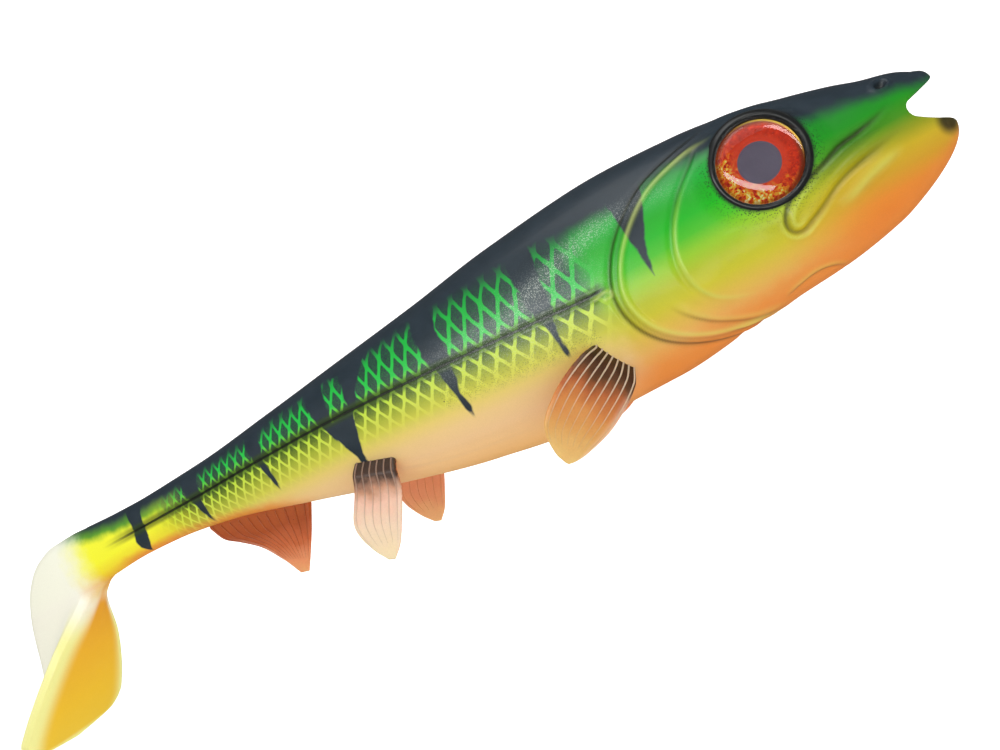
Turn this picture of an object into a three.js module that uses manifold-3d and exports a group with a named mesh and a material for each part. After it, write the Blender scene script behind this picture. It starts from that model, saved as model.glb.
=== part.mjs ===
// A soft-plastic swimbait: a hand-poured fish with a paddle tail and set-in 3-D eyes.
//
// Millimetres, +Z up (the back), +X to the nose, +Y to the fish's own left.
// The origin is the corner of the mouth, where the screw of a nose rig is turned in.
// The pour is one piece of soft plastic on the real bait. It is split here at the places where it
// bends, so that each stretch is a rigid solid, and each fin and the paddle is a solid of its own.

import * as THREE from 'three';
import { mergeVertices } from 'three/addons/utils/BufferGeometryUtils.js';
import Module from 'manifold-3d';

// ---------------------------------------------------------------- driving dimensions
const jawReach = 5.4; // jaw tips ahead of the mouth corner
const wristSetback = 197; // mouth corner to the tail wrist
const backHeight = 19.7; // highest point of the back above the mouth corner
const bellyDrop = 23.2; // lowest point of the belly below the mouth corner
const bodyWidth = 33; // widest, across the gill covers

const eyeDiameter = 15;
const eyeSetback = 27; // mouth corner to the eye's centre
const eyeRaise = 4.2;
const eyeForwardTurn = 7; // degrees that each eye looks ahead
const eyeUpTurn = 5; // degrees that each eye looks up
const eyePadThickness = 0.8;
const eyeFoilThickness = 0.4;
const eyeLensDome = 3;
const eyeProud = 1.2; // lens crown above the skin
const socketRim = 1.6; // wall of the raised rim round each eye
const socketRimProud = 0.3;

const bodyFlexSetback = 88; // the four bends, from the mouth corner
const rearFlexSetback = 132;
const tailFlexSetback = 178;
const bodyFlexRelief = 7; // degrees that each end face falls back from its hinge line
const rearFlexRelief = 8;
const tailFlexRelief = 10.5;
const kickRelief = 25;

const shinLength = 41; // tail wrist to the tip of the web above the paddle
const paddleLength = 42;
const paddleWidth = 32;
const paddleThickness = 4.5;
const paddleSweep = 47; // degrees back from straight down
const paddleTrail = 20; // degrees that the paddle may trail back
const paddleHingeSetback = 15.5; // tail wrist to the paddle's hinge
const paddleHingeDrop = 3.8; // mouth corner level to the paddle's hinge

const pectoralLength = 19.4; // root line to the tip
const pectoralRoot = 9.6;
const pectoralSetback = 67; // mouth corner to the middle of its root
const pelvicLength = 20.4;
const pelvicRoot = 10.1;
const pelvicSetback = 121.5;
const analLength = 15.7;
const analRoot = 28.6;
const analSetback = 146.5; // mouth corner to the front of its root
const finThickness = 1.5;

const gap = 0.3; // between pieces that touch or bend past each other
const ringSides = 24; // sides of every body section
const sectionPower = 2.3; // 2 is an ellipse, more is squarer

const bodyLength = jawReach + wristSetback;
const radians = THREE.MathUtils.degToRad;

// ---------------------------------------------------------------- the body's outline
// Each row: share of the length from jaw tips to wrist, then the back's, the belly's and the
// flank's share of backHeight, bellyDrop and half of bodyWidth. The belly is level between the
// two rows that reach 1, which is the flat strip where a stinger plate rests.
const outline = [
  [0.0, 0.14, 0.33, 0.16],
  [0.012, 0.27, 0.43, 0.27],
  [0.027, 0.36, 0.535, 0.38],
  [0.052, 0.445, 0.66, 0.51],
  [0.077, 0.55, 0.745, 0.62],
  [0.135, 0.74, 0.845, 0.8],
  [0.212, 0.91, 0.9, 0.93],
  [0.315, 1.0, 1.0, 1.0],
  [0.42, 0.96, 1.0, 0.985],
  [0.52, 0.865, 0.885, 0.89],
  [0.628, 0.785, 0.67, 0.715],
  [0.742, 0.7, 0.395, 0.51],
  [0.855, 0.63, 0.14, 0.34],
  [0.94, 0.622, 0.035, 0.245],
  [1.0, 0.645, 0.01, 0.195],
];

// Smooth curve through one column of a table, straight where two neighbours are equal.
function along(table, share, column) {
  const last = table.length - 1;
  let i = 0;
  while (i < last - 1 && share > table[i + 1][0]) i += 1;
  const [a, b] = [table[i], table[i + 1]];
  const slope = (p, q) => (table[q][column] - table[p][column]) / (table[q][0] - table[p][0]);
  const middle = slope(i, i + 1);
  const before = i > 0 ? slope(i - 1, i) : middle;
  const after = i < last - 1 ? slope(i + 1, i + 2) : middle;
  const gentle = (p, q) => (p * q <= 0 ? 0 : (2 * p * q) / (p + q));
  const width = b[0] - a[0];
  const t = THREE.MathUtils.clamp((share - a[0]) / width, 0, 1);
  const [t2, t3] = [t * t, t * t * t];
  return (2 * t3 - 3 * t2 + 1) * a[column] + (t3 - 2 * t2 + t) * width * gentle(before, middle)
    + (3 * t2 - 2 * t3) * b[column] + (t3 - t2) * width * gentle(middle, after);
}

// The section at x: its top, its bottom and its half width.
function bodySection(x) {
  const share = (jawReach - x) / bodyLength;
  return {
    top: backHeight * along(outline, share, 1),
    bottom: -bellyDrop * along(outline, share, 2),
    half: (bodyWidth / 2) * along(outline, share, 3),
  };
}

// The web above the paddle carries on from the wrist: share of its length, back, keel, half width.
const wrist = bodySection(-wristSetback);
const hinge = new THREE.Vector2(-wristSetback - paddleHingeSetback, -paddleHingeDrop);
const trailLimit = radians(paddleSweep + paddleTrail + 3);
const keelClearance = paddleThickness / 2 + 2 * gap;

function shinKeel(x) {
  // Over the paddle the keel follows the highest place that the trailing paddle reaches.
  const behind = Math.max(0, hinge.x - x);
  const overPaddle = hinge.y + keelClearance / Math.sin(trailLimit) - behind / Math.tan(trailLimit);
  const fore = THREE.MathUtils.clamp((-wristSetback - x) / paddleHingeSetback, 0, 1);
  return behind > 0 ? overPaddle : THREE.MathUtils.lerp(wrist.bottom, overPaddle, fore);
}

const shinOutline = [
  [0.0, 1.0, 1.0],
  [0.25, 1.03, 0.95],
  [0.45, 1.0, 0.88],
  [0.65, 0.84, 0.74],
  [0.82, 0.52, 0.58],
  [0.94, 0.2, 0.44],
  [1.0, 0.02, 0.34],
];

function shinSection(x) {
  const share = (-wristSetback - x) / shinLength;
  const bottom = shinKeel(x);
  const rise = wrist.top - shinKeel(-wristSetback - shinLength);
  const tall = shinKeel(-wristSetback - shinLength) + rise * along(shinOutline, share, 1);
  return { top: Math.max(tall, bottom + 1.2), bottom, half: wrist.half * along(shinOutline, share, 2) };
}

// ---------------------------------------------------------------- solids
// One point of a section: angle 0 is the top, a half turn is the bottom, whose strip is flat.
function sectionPoint(section, angle) {
  const half = (section.top - section.bottom) / 2;
  const middle = (section.top + section.bottom) / 2;
  const power = 2 / sectionPower;
  const reach = (value) => Math.sign(value) * Math.abs(value) ** power;
  const strip = Math.PI * (1 - 2.01 / ringSides);
  const flat = Math.abs(Math.PI - angle) < Math.PI - strip;
  const y = section.half * reach(Math.sin(angle));
  const z = flat ? section.bottom : Math.max(middle + half * reach(Math.cos(angle)), section.bottom);
  return [y, z];
}

// A ring of points at x. slant carries the flanks back from the middle, towards the solid.
function sectionRing(sectionAt, x, slant) {
  const points = [];
  for (let i = 0; i < ringSides; i += 1) {
    const angle = (2 * Math.PI * i) / ringSides;
    const [roughY] = sectionPoint(sectionAt(x), angle);
    const shifted = x + Math.abs(roughY) * slant;
    const [y, z] = sectionPoint(sectionAt(shifted), angle);
    points.push([shifted, y, z]);
  }
  return points;
}

// A closed loft through sections from front to back, with roof-shaped ends.
function loft(sectionAt, front, back, frontRelief, backRelief, steps) {
  const rings = [];
  for (let i = 0; i <= steps; i += 1) {
    const x = THREE.MathUtils.lerp(front, back, i / steps);
    let slant = 0;
    if (i === 0) slant = -Math.tan(radians(frontRelief));
    if (i === steps) slant = Math.tan(radians(backRelief));
    rings.push(sectionRing(sectionAt, x, slant));
  }
  const faces = [];
  const half = ringSides / 2;
  for (let r = 0; r < steps; r += 1) {
    for (let i = 0; i < ringSides; i += 1) {
      const j = (i + 1) % ringSides;
      const [a, b] = [r * ringSides + i, r * ringSides + j];
      faces.push([a, b, a + ringSides], [b, b + ringSides, a + ringSides]);
    }
  }
  const end = steps * ringSides;
  for (let i = 1; i < half; i += 1) {
    faces.push([0, i + 1, i], [0, (half + i) % ringSides, half + i - 1]);
    faces.push([end, end + i, end + i + 1], [end, end + half + i - 1, end + ((half + i) % ringSides)]);
  }
  return solidFrom(rings.flat(), faces);
}

function solidFrom(points, faces) {
  const geometry = new THREE.BufferGeometry();
  geometry.setAttribute('position', new THREE.Float32BufferAttribute(points.flat(), 3));
  geometry.setIndex(faces.filter((f) => new Set(f).size === 3).flat());
  return geometry;
}

// A flat plate with this outline, standing half its thickness to each side of the XY plane.
function plate(points, thickness) {
  const shape = new THREE.Shape(points.map(([x, y]) => new THREE.Vector2(x, y)));
  const chamfer = thickness / 4;
  const geometry = new THREE.ExtrudeGeometry(shape, {
    depth: thickness - 2 * chamfer,
    bevelThickness: chamfer,
    bevelSize: chamfer,
    bevelOffset: -chamfer,
    bevelSegments: 1,
  });
  return geometry.translate(0, 0, chamfer - thickness / 2);
}

// A plate's own X and Y are laid along two directions, with its origin at a point.
function lay(geometry, origin, xWay, yWay) {
  const x = xWay.clone().normalize();
  const z = new THREE.Vector3().crossVectors(x, yWay).normalize();
  const y = new THREE.Vector3().crossVectors(z, x);
  const place = new THREE.Matrix4().makeBasis(x, y, z).setPosition(origin);
  return geometry.applyMatrix4(place);
}

const wasm = await Module();
wasm.setup();

function toManifold(geometry) {
  const bare = geometry.clone();
  bare.deleteAttribute('normal');
  bare.deleteAttribute('uv');
  const merged = mergeVertices(bare, 1e-4);
  return new wasm.Manifold(new wasm.Mesh({
    numProp: 3,
    vertProperties: new Float32Array(merged.attributes.position.array),
    triVerts: new Uint32Array(merged.index.array),
  }));
}

function fromManifold(solid) {
  const mesh = solid.getMesh();
  const geometry = new THREE.BufferGeometry();
  geometry.setAttribute('position', new THREE.Float32BufferAttribute(mesh.vertProperties, 3));
  geometry.setIndex(Array.from(mesh.triVerts));
  return geometry;
}

// ---------------------------------------------------------------- materials and placing
const colours = {
  upper: 0x2c8f3f, flank: 0x86b52c, tail: 0xe6c52a, fin: 0xb5622c, pad: 0x2b2b2e, foil: 0xc8421f, lens: 0xdfe6ea,
};

function finish(colour, roughness, metalness = 0) {
  return new THREE.MeshStandardMaterial({ color: colours[colour], roughness, metalness });
}

const softPlastic = {
  head: finish('upper', 0.35),
  flank: finish('flank', 0.35),
  tail: finish('tail', 0.4),
  fin: finish('fin', 0.45),
};
const part = new THREE.Group();

function add(name, geometry, material) {
  const mesh = new THREE.Mesh(geometry, material);
  mesh.name = name;
  part.add(mesh);
}

const sides = [['right', -1], ['left', 1]];

// ---------------------------------------------------------------- eyes and their sockets
const eyeRadius = eyeDiameter / 2;
const socketRadius = eyeRadius + gap;
const stack = eyePadThickness + eyeFoilThickness + eyeLensDome + 3 * gap;

function flankAt(x, z) {
  const section = bodySection(x);
  const half = (section.top - section.bottom) / 2;
  const share = Math.abs(z - (section.top + section.bottom) / 2) / half;
  return section.half * Math.max(0, 1 - share ** sectionPower) ** (1 / sectionPower);
}

const eyeSkin = flankAt(-eyeSetback, eyeRaise); // skin's distance from the middle at the eye
const socketFloor = stack - eyeProud; // below the skin

// The eye's own frame: its Y axis looks out of the head, its origin is on the skin.
function eyeFrame(side) {
  const turn = new THREE.Euler(side * radians(eyeUpTurn), 0, -side * radians(eyeForwardTurn));
  const look = new THREE.Quaternion().setFromEuler(turn);
  const outward = new THREE.Quaternion().setFromAxisAngle(new THREE.Vector3(1, 0, 0), side > 0 ? 0 : Math.PI);
  const where = new THREE.Vector3(-eyeSetback, side * eyeSkin, eyeRaise);
  return new THREE.Matrix4().compose(where, look.multiply(outward), new THREE.Vector3(1, 1, 1));
}

function disc(radius, low, high, sidesRound = 28) {
  return new THREE.CylinderGeometry(radius, radius, high - low, sidesRound).translate(0, (low + high) / 2, 0);
}

function lensDome(low) {
  const rimHeight = 0.8;
  const profile = [new THREE.Vector2(0, low), new THREE.Vector2(eyeRadius, low)];
  const steps = 4;
  for (let i = 0; i <= steps; i += 1) {
    const angle = (Math.PI / 2) * (i / steps);
    const rise = (eyeLensDome - rimHeight) * Math.sin(angle);
    profile.push(new THREE.Vector2(eyeRadius * Math.cos(angle), low + rimHeight + rise));
  }
  profile[profile.length - 1].x = 0;
  profile.push(profile[0].clone());
  return new THREE.LatheGeometry(profile, 28);
}

const padBase = gap - socketFloor;
const foilBase = padBase + eyePadThickness + gap;
const lensBase = foilBase + eyeFoilThickness + gap;

for (const [sideName, side] of sides) {
  const frame = eyeFrame(side);
  const pad = disc(eyeRadius - 1, padBase, padBase + eyePadThickness);
  const foil = disc(eyeRadius - 0.2, foilBase, foilBase + eyeFoilThickness);
  add(`eye_pad_${sideName}`, pad.applyMatrix4(frame), finish('pad', 0.9));
  add(`eye_foil_${sideName}`, foil.applyMatrix4(frame), finish('foil', 0.25, 0.6));
  add(`eye_lens_${sideName}`, lensDome(lensBase).applyMatrix4(frame), finish('lens', 0.05));
}

// ---------------------------------------------------------------- the pour, front to back
function mouthWedge() {
  // Upper and lower gum lines, from the mouth corner forward.
  const reach = 3 * jawReach;
  const upper = new THREE.Vector2(reach, reach * Math.tan(radians(31)));
  const lower = new THREE.Vector2(reach, -reach * Math.tan(radians(48)));
  const shape = new THREE.Shape([new THREE.Vector2(0, 0), lower, upper]);
  const wedge = new THREE.ExtrudeGeometry(shape, { depth: bodyWidth, bevelEnabled: false });
  return wedge.translate(0, 0, -bodyWidth / 2).rotateX(Math.PI / 2);
}

function frontBody() {
  let head = toManifold(loft(bodySection, jawReach, gap - bodyFlexSetback, 0, bodyFlexRelief, 15));
  head = head.subtract(toManifold(mouthWedge()));
  for (const [, side] of sides) {
    const frame = eyeFrame(side);
    const rim = disc(socketRadius + socketRim, -socketFloor - 1, socketRimProud).applyMatrix4(frame);
    const socket = disc(socketRadius, -socketFloor, 3 * socketFloor).applyMatrix4(frame);
    head = head.add(toManifold(rim)).subtract(toManifold(socket));
  }
  return fromManifold(head);
}

function stretch(frontSetback, backSetback, frontRelief, backRelief, steps) {
  return loft(bodySection, -frontSetback - gap, gap - backSetback, frontRelief, backRelief, steps);
}

add('front_body', frontBody(), softPlastic.head);
add('mid_body', stretch(bodyFlexSetback, rearFlexSetback, bodyFlexRelief, rearFlexRelief, 6), softPlastic.flank);
add('rear_body', stretch(rearFlexSetback, tailFlexSetback, rearFlexRelief, tailFlexRelief, 6), softPlastic.flank);
add('tail_stem', stretch(tailFlexSetback, wristSetback, tailFlexRelief, kickRelief, 4), softPlastic.tail);

const shinFront = -wristSetback - gap;
const shinBack = -wristSetback - shinLength;
add('tail_web', loft(shinSection, shinFront, shinBack, kickRelief, 0, 9), softPlastic.tail);

// ---------------------------------------------------------------- the paddle
// A spade: narrow at its hinge, full width low down, with round lower corners. Shares of half the
// width, then of the length.
const paddleOutline = [[0.16, 0], [0.27, 0.1], [0.45, 0.22], [0.64, 0.36], [0.82, 0.55], [0.95, 0.74]];

function paddlePlate() {
  const half = paddleWidth / 2;
  const corner = 6;
  const points = paddleOutline.map(([across, down]) => [across * half, down * paddleLength]);
  for (let i = 0; i <= 3; i += 1) {
    const angle = (Math.PI / 2) * (i / 3);
    const across = half - corner + corner * Math.cos(angle);
    points.push([across, paddleLength - corner + corner * Math.sin(angle)]);
  }
  const mirrored = [...points].reverse().map(([x, y]) => [-x, y]);
  return plate([...points, ...mirrored], paddleThickness);
}

const sweep = radians(paddleSweep);
add('tail_paddle', lay(
  paddlePlate(),
  new THREE.Vector3(hinge.x, 0, hinge.y),
  new THREE.Vector3(0, 1, 0),
  new THREE.Vector3(-Math.sin(sweep), 0, -Math.cos(sweep)),
), softPlastic.tail);

// ---------------------------------------------------------------- fins
// Outlines in shares: across the root first, then from the root line to the tip.
const pectoralOutline = [
  [0, 0], [1, 0], [1.12, 0.14], [1.16, 0.33], [1.1, 0.59], [0.92, 0.83], [0.66, 1],
  [0.33, 0.967], [-0.04, 0.86], [-0.21, 0.73], [-0.28, 0.45], [-0.17, 0.14],
];
const pelvicOutline = [
  [0, 0], [1, 0], [1.08, 0.25], [1.03, 0.45], [0.94, 0.65], [0.83, 0.85], [0.6, 1],
  [0.19, 0.89], [-0.1, 0.73], [-0.19, 0.57], [-0.04, 0.27],
];
const analOutline = [
  [0, 0], [1, 0], [0.9, 0.21], [0.76, 0.31], [0.57, 0.465], [0.4, 0.73],
  [0.29, 0.955], [0.22, 1], [0.145, 0.745], [0.066, 0.38],
];

function fin(shares, root, length) {
  return plate(shares.map(([across, down]) => [across * root, down * length]), finThickness);
}

// A paired fin's root runs between two points that stand just off the skin.
function pairedFin(side, shares, root, length, start, end, fan) {
  const standOff = gap + finThickness / 2 + 0.2;
  const place = ([x, z]) => new THREE.Vector3(x, side * (flankAt(x, z) + standOff), z);
  const origin = place(start);
  const rootWay = place(end).sub(origin);
  const fanWay = new THREE.Vector3(fan[0], side * fan[1], fan[2]);
  return lay(fin(shares, root, length), origin, rootWay, fanWay);
}

const pectoralTop = -0.47 * bellyDrop;
const pelvicRear = -0.29 * bellyDrop;
for (const [sideName, side] of sides) {
  const topEnd = [-pectoralSetback - 0.22 * pectoralRoot, pectoralTop];
  const lowEnd = [-pectoralSetback + 0.22 * pectoralRoot, pectoralTop - 0.83 * pectoralRoot];
  add(`pectoral_fin_${sideName}`, pairedFin(
    side, pectoralOutline, pectoralRoot, pectoralLength, topEnd, lowEnd, [-0.8, 0.28, -0.52],
  ), softPlastic.fin);
  const rearEnd = [-pelvicSetback - 0.48 * pelvicRoot, pelvicRear];
  const foreEnd = [-pelvicSetback + 0.48 * pelvicRoot, pelvicRear - 0.3 * pelvicRoot];
  add(`pelvic_fin_${sideName}`, pairedFin(
    side, pelvicOutline, pelvicRoot, pelvicLength, rearEnd, foreEnd, [-0.3, 0.06, -0.95],
  ), softPlastic.fin);
}

function analFin() {
  const below = gap + 0.2;
  const rootEnd = (x) => new THREE.Vector3(x, 0, bodySection(x).bottom - below);
  const fore = rootEnd(-analSetback);
  const rear = rootEnd(-analSetback - analRoot);
  const plateSolid = fin(analOutline, analRoot, analLength);
  return lay(plateSolid, fore, rear.sub(fore), new THREE.Vector3(0, 0, -1));
}

add('anal_fin', analFin(), softPlastic.fin);

export default part;
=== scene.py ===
# %% [markdown]
# # A soft-plastic swimbait, painted and posed round its CAD frame
#
# The real bait is one pour of soft plastic in the shape of a perch, with an airbrushed and netted
# coat of paint, and two set-in eyes: each a pad of glue, a printed foil disc and a clear dome.
# The CAD frame holds its measured sizes and its joints. This lesson makes the fine surface, cell
# by cell: first the setting, then the skin, the tail, the fins, the eyes, and last the checks.

import math

import bmesh
import bpy
import numpy as np
from mathutils import Matrix, Vector


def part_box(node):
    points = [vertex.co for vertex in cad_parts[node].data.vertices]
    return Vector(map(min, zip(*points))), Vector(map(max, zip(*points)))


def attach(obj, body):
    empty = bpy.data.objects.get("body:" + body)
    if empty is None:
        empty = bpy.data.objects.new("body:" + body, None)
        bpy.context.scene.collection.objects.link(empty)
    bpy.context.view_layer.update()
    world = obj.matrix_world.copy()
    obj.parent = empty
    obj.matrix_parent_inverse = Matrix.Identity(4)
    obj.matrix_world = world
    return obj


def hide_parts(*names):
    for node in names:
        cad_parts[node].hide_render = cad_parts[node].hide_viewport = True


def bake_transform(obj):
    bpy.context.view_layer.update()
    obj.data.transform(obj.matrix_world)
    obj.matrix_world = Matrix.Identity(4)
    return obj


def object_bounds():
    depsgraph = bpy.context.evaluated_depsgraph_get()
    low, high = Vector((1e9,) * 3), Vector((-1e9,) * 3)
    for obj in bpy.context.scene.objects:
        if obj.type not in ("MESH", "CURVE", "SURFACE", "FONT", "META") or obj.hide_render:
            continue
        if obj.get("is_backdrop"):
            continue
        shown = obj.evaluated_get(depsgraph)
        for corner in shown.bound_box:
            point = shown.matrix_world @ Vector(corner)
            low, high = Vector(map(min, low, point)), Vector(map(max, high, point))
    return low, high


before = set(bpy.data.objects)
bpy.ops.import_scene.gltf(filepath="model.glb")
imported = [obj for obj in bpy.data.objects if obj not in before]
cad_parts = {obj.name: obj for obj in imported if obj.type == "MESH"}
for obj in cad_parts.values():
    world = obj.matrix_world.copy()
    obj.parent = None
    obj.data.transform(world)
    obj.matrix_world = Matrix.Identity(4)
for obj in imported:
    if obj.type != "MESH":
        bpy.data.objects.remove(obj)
cad_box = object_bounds()
MM = 0.001

# %% [markdown]
# ## Camera, sheet and lights
#
# The bait is looked at from close by, from its right side, a little ahead of the middle, with the
# camera rolled, so that it runs from lower left to upper right. A short lens at that distance
# gives the strong perspective. The bait hangs in front of a white sheet, above a white floor.
# Both are seen only from their front, so views from behind or below look through them.

# %% Camera
camera_place = Vector((-41.6, -162.4, -11.1)) * MM
turned_to_tail = math.radians(17)
looking_up = math.radians(2)
rolled = math.radians(29.2)
sensor_width = 36.0
lens_length = 28.8

look = Vector((
    -math.sin(turned_to_tail) * math.cos(looking_up),
    math.cos(turned_to_tail) * math.cos(looking_up),
    math.sin(looking_up),
))
level_right = look.cross(Vector((0, 0, 1))).normalized()
level_up = level_right.cross(look)
right = level_right * math.cos(rolled) - level_up * math.sin(rolled)
up = level_right * math.sin(rolled) + level_up * math.cos(rolled)

camera = bpy.data.objects.new("camera", bpy.data.cameras.new("camera"))
camera.data.sensor_width = sensor_width
camera.data.lens = lens_length
camera.data.clip_start = 0.005
camera.matrix_world = Matrix.Translation(camera_place) @ Matrix((right, up, -look)).transposed().to_4x4()
bpy.context.scene.collection.objects.link(camera)
bpy.context.scene.camera = camera
bpy.context.scene.view_settings.view_transform = "Standard"
print("camera looks along", [round(v, 3) for v in look])

# %% Helpers for node trees
def put(tree, kind, inputs=None, **settings):
    """Adds a node. Each input is a value, or a socket that is linked to it."""
    made = tree.nodes.new(kind)
    for name, value in settings.items():
        setattr(made, name, value)
    for name, value in (inputs or {}).items():
        socket = made.inputs[name]
        if isinstance(value, bpy.types.NodeSocket):
            tree.links.new(value, socket)
        else:
            socket.default_value = value
    return made


def calc(tree, operation, *values, clamp=False):
    """A Math node's result."""
    inputs = {i: value for i, value in enumerate(values)}
    return put(tree, "ShaderNodeMath", inputs, operation=operation, use_clamp=clamp).outputs[0]


def fade(tree, value, start, end, low=0.0, high=1.0):
    """Goes smoothly from low at start to high at end."""
    inputs = {"Value": value, "From Min": start, "From Max": end, "To Min": low, "To Max": high}
    return put(tree, "ShaderNodeMapRange", inputs, interpolation_type="SMOOTHSTEP").outputs["Result"]


def blend_colour(tree, share, first, second, way="MIX"):
    """Mixes two colours by a share."""
    made = put(tree, "ShaderNodeMix", data_type="RGBA", blend_type=way)
    for index, value in ((0, share), (6, first), (7, second)):
        if isinstance(value, bpy.types.NodeSocket):
            tree.links.new(value, made.inputs[index])
        else:
            made.inputs[index].default_value = value
    return made.outputs[2]


def paint(red, green, blue):
    """A paint's linear colour from its mixed shade, 0 to 255."""
    shares = [value / 255 for value in (red, green, blue)]
    return tuple(s / 12.92 if s <= 0.04045 else ((s + 0.055) / 1.055) ** 2.4 for s in shares) + (1.0,)


def ramp(tree, value, stops):
    """A colour that changes with value through stops of (value, linear colour)."""
    low, high = stops[0][0], stops[-1][0]
    share = put(tree, "ShaderNodeMapRange", {"Value": value, "From Min": low, "From Max": high})
    made = put(tree, "ShaderNodeValToRGB", {"Fac": share.outputs["Result"]})
    band = made.color_ramp
    for at, shade in stops[1:-1]:
        band.elements.new((at - low) / (high - low)).color = shade
    band.elements[0].color = stops[0][1]
    band.elements[-1].color = stops[-1][1]
    return made.outputs["Color"]


def sprayed(tree, value, stops):
    """A colour that changes with value through stops of (value, red, green, blue), as paint mixes them."""
    return ramp(tree, value, [(at, paint(*shade)) for at, *shade in stops])


def new_material(name):
    """An empty material with its output node."""
    made = bpy.data.materials.new(name)
    made.use_nodes = True
    made.node_tree.nodes.clear()
    return made, made.node_tree, put(made.node_tree, "ShaderNodeOutputMaterial")


def new_group(name, inputs, outputs):
    """An empty shader node group with named sockets: (name, kind, start value)."""
    made = bpy.data.node_groups.new(name, "ShaderNodeTree")
    for label, kind, start in inputs:
        socket = made.interface.new_socket(label, in_out="INPUT", socket_type="NodeSocket" + kind)
        if start is not None:
            socket.default_value = start
    for label, kind in outputs:
        made.interface.new_socket(label, in_out="OUTPUT", socket_type="NodeSocket" + kind)
    return made, put(made, "NodeGroupInput").outputs, put(made, "NodeGroupOutput").inputs


def use_group(tree, group, inputs):
    """Places a group in a tree and returns its outputs."""
    made = put(tree, "ShaderNodeGroup", node_tree=group)
    for name, value in inputs.items():
        if isinstance(value, bpy.types.NodeSocket):
            tree.links.new(value, made.inputs[name])
        else:
            made.inputs[name].default_value = value
    return made.outputs


# %% Sheet and floor
sheet_distance = 75 * MM
floor_depth = 75 * MM
stage_size = 3.0
sent_glow = 0.12
seen_glow = 0.62


def one_sided_sheet(name, corners):
    """A white sheet that can't be seen from behind."""
    mesh = bpy.data.meshes.new(name)
    mesh.from_pydata(corners, [], [(0, 1, 2, 3)])
    sheet = bpy.data.objects.new(name, mesh)
    bpy.context.scene.collection.objects.link(sheet)
    sheet.data.materials.append(stage_white)
    sheet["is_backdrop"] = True
    return sheet


stage_white, tree, out = new_material("stage_white")
seen = put(tree, "ShaderNodeLightPath").outputs["Is Camera Ray"]
sheet_glow = calc(tree, "MULTIPLY_ADD", seen, seen_glow - sent_glow, sent_glow)
surface = put(tree, "ShaderNodeBsdfPrincipled", {
    "Base Color": (0.93, 0.925, 0.92, 1), "Roughness": 0.9,
    "Emission Color": (1.0, 0.985, 0.98, 1), "Emission Strength": sheet_glow})
clear = put(tree, "ShaderNodeBsdfTransparent")
behind = put(tree, "ShaderNodeNewGeometry").outputs["Backfacing"]
either = put(tree, "ShaderNodeMixShader", {0: behind, 1: surface.outputs[0], 2: clear.outputs[0]})
tree.links.new(either.outputs[0], out.inputs["Surface"])

s = stage_size
sheet = one_sided_sheet("stage_sheet", [
    (-s, sheet_distance, -s), (s, sheet_distance, -s), (s, sheet_distance, s), (-s, sheet_distance, s),
])
floor = one_sided_sheet("stage_floor", [
    (-s, -s, -floor_depth), (s, -s, -floor_depth), (s, s, -floor_depth), (-s, s, -floor_depth),
])
sheet.visible_glossy = False
floor.visible_glossy = False

# %% Lights
# White walls all round. They light the bait less than they are seen, and gloss mirrors them darkly.
seen_white = 1.0
lighting_white = 0.66
mirrored_white = 0.1
world = bpy.data.worlds.new("surround")
world.use_nodes = True
tree = world.node_tree
ray = put(tree, "ShaderNodeLightPath").outputs
white = tree.nodes["Background"].inputs
white["Color"].default_value = (1.0, 0.995, 0.985, 1)
strength = calc(tree, "MULTIPLY_ADD", ray["Is Camera Ray"], seen_white - lighting_white, lighting_white)
strength = calc(tree, "MULTIPLY_ADD", ray["Is Glossy Ray"], mirrored_white - lighting_white, strength)
tree.links.new(strength, white["Strength"])
bpy.context.scene.world = world


def soft_light(name, way, distance, width, power):
    """A square soft box at a distance from the middle of the bait, facing it."""
    light = bpy.data.lights.new(name, "AREA")
    light.size = width
    light.energy = power
    box = bpy.data.objects.new(name, light)
    middle = Vector((-105 * MM, 0, 0))
    box.location = middle + Vector(way).normalized() * distance
    box.rotation_euler = (middle - box.location).to_track_quat("-Z", "Y").to_euler()
    bpy.context.scene.collection.objects.link(box)
    return box


key_box = soft_light("key_box", up * 0.9 - look * 0.8 - right * 0.35, distance=0.8, width=0.45, power=1.75)
soft_light("back_box", Vector((0.1, -0.18, 1.0)), distance=0.6, width=0.3, power=0.45)

# A narrow window, only mirrored: it lies as a light crescent low in the pupil. It stands where the
# dome, at the slope that the crescent should have, mirrors it towards the camera.
eye_turn = math.radians(7)
eye_tilt = math.radians(5)
eye_front = Vector((-27, -15, 4)) * MM
window_distance, window_length, window_width = 0.7, 1.0, 0.12
eye_out = Vector((math.sin(eye_turn), -math.cos(eye_turn), math.sin(eye_tilt))).normalized()
dome_slope = (eye_out - up * 0.105 - right * 0.002).normalized()
window = soft_light("eye_window", -look, window_distance, width=0.1, power=3.6)
window.location = eye_front + (look - 2 * look.dot(dome_slope) * dome_slope) * window_distance
back = (window.location - eye_front).normalized()
along = right - up * 0.2
along = (along - back * along.dot(back)).normalized()
window.rotation_euler = Matrix((along, back.cross(along), back)).transposed().to_euler()
window.data.shape = "RECTANGLE"
window.data.size = window_length
window.data.size_y = window_width
window.visible_diffuse = False

# %% [markdown]
# ## The skin of the fish
#
# A pour keeps the shape of its mould, so the skin is one smooth loft: rings of points whose top,
# bottom and width follow three curves from the jaws to the tail. It is worked out here in numbers,
# because the gill covers, creases and mouth are then pressed in by simple rules of distance.
# The bait bends at four places, so the skin is made as stretches that meet ring to ring.

# %% Body outline
jaw_reach = 5.4
body_length = 202.4
back_height = 19.7
belly_drop = 23.2
half_width = 16.5
section_power = 2.3

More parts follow.
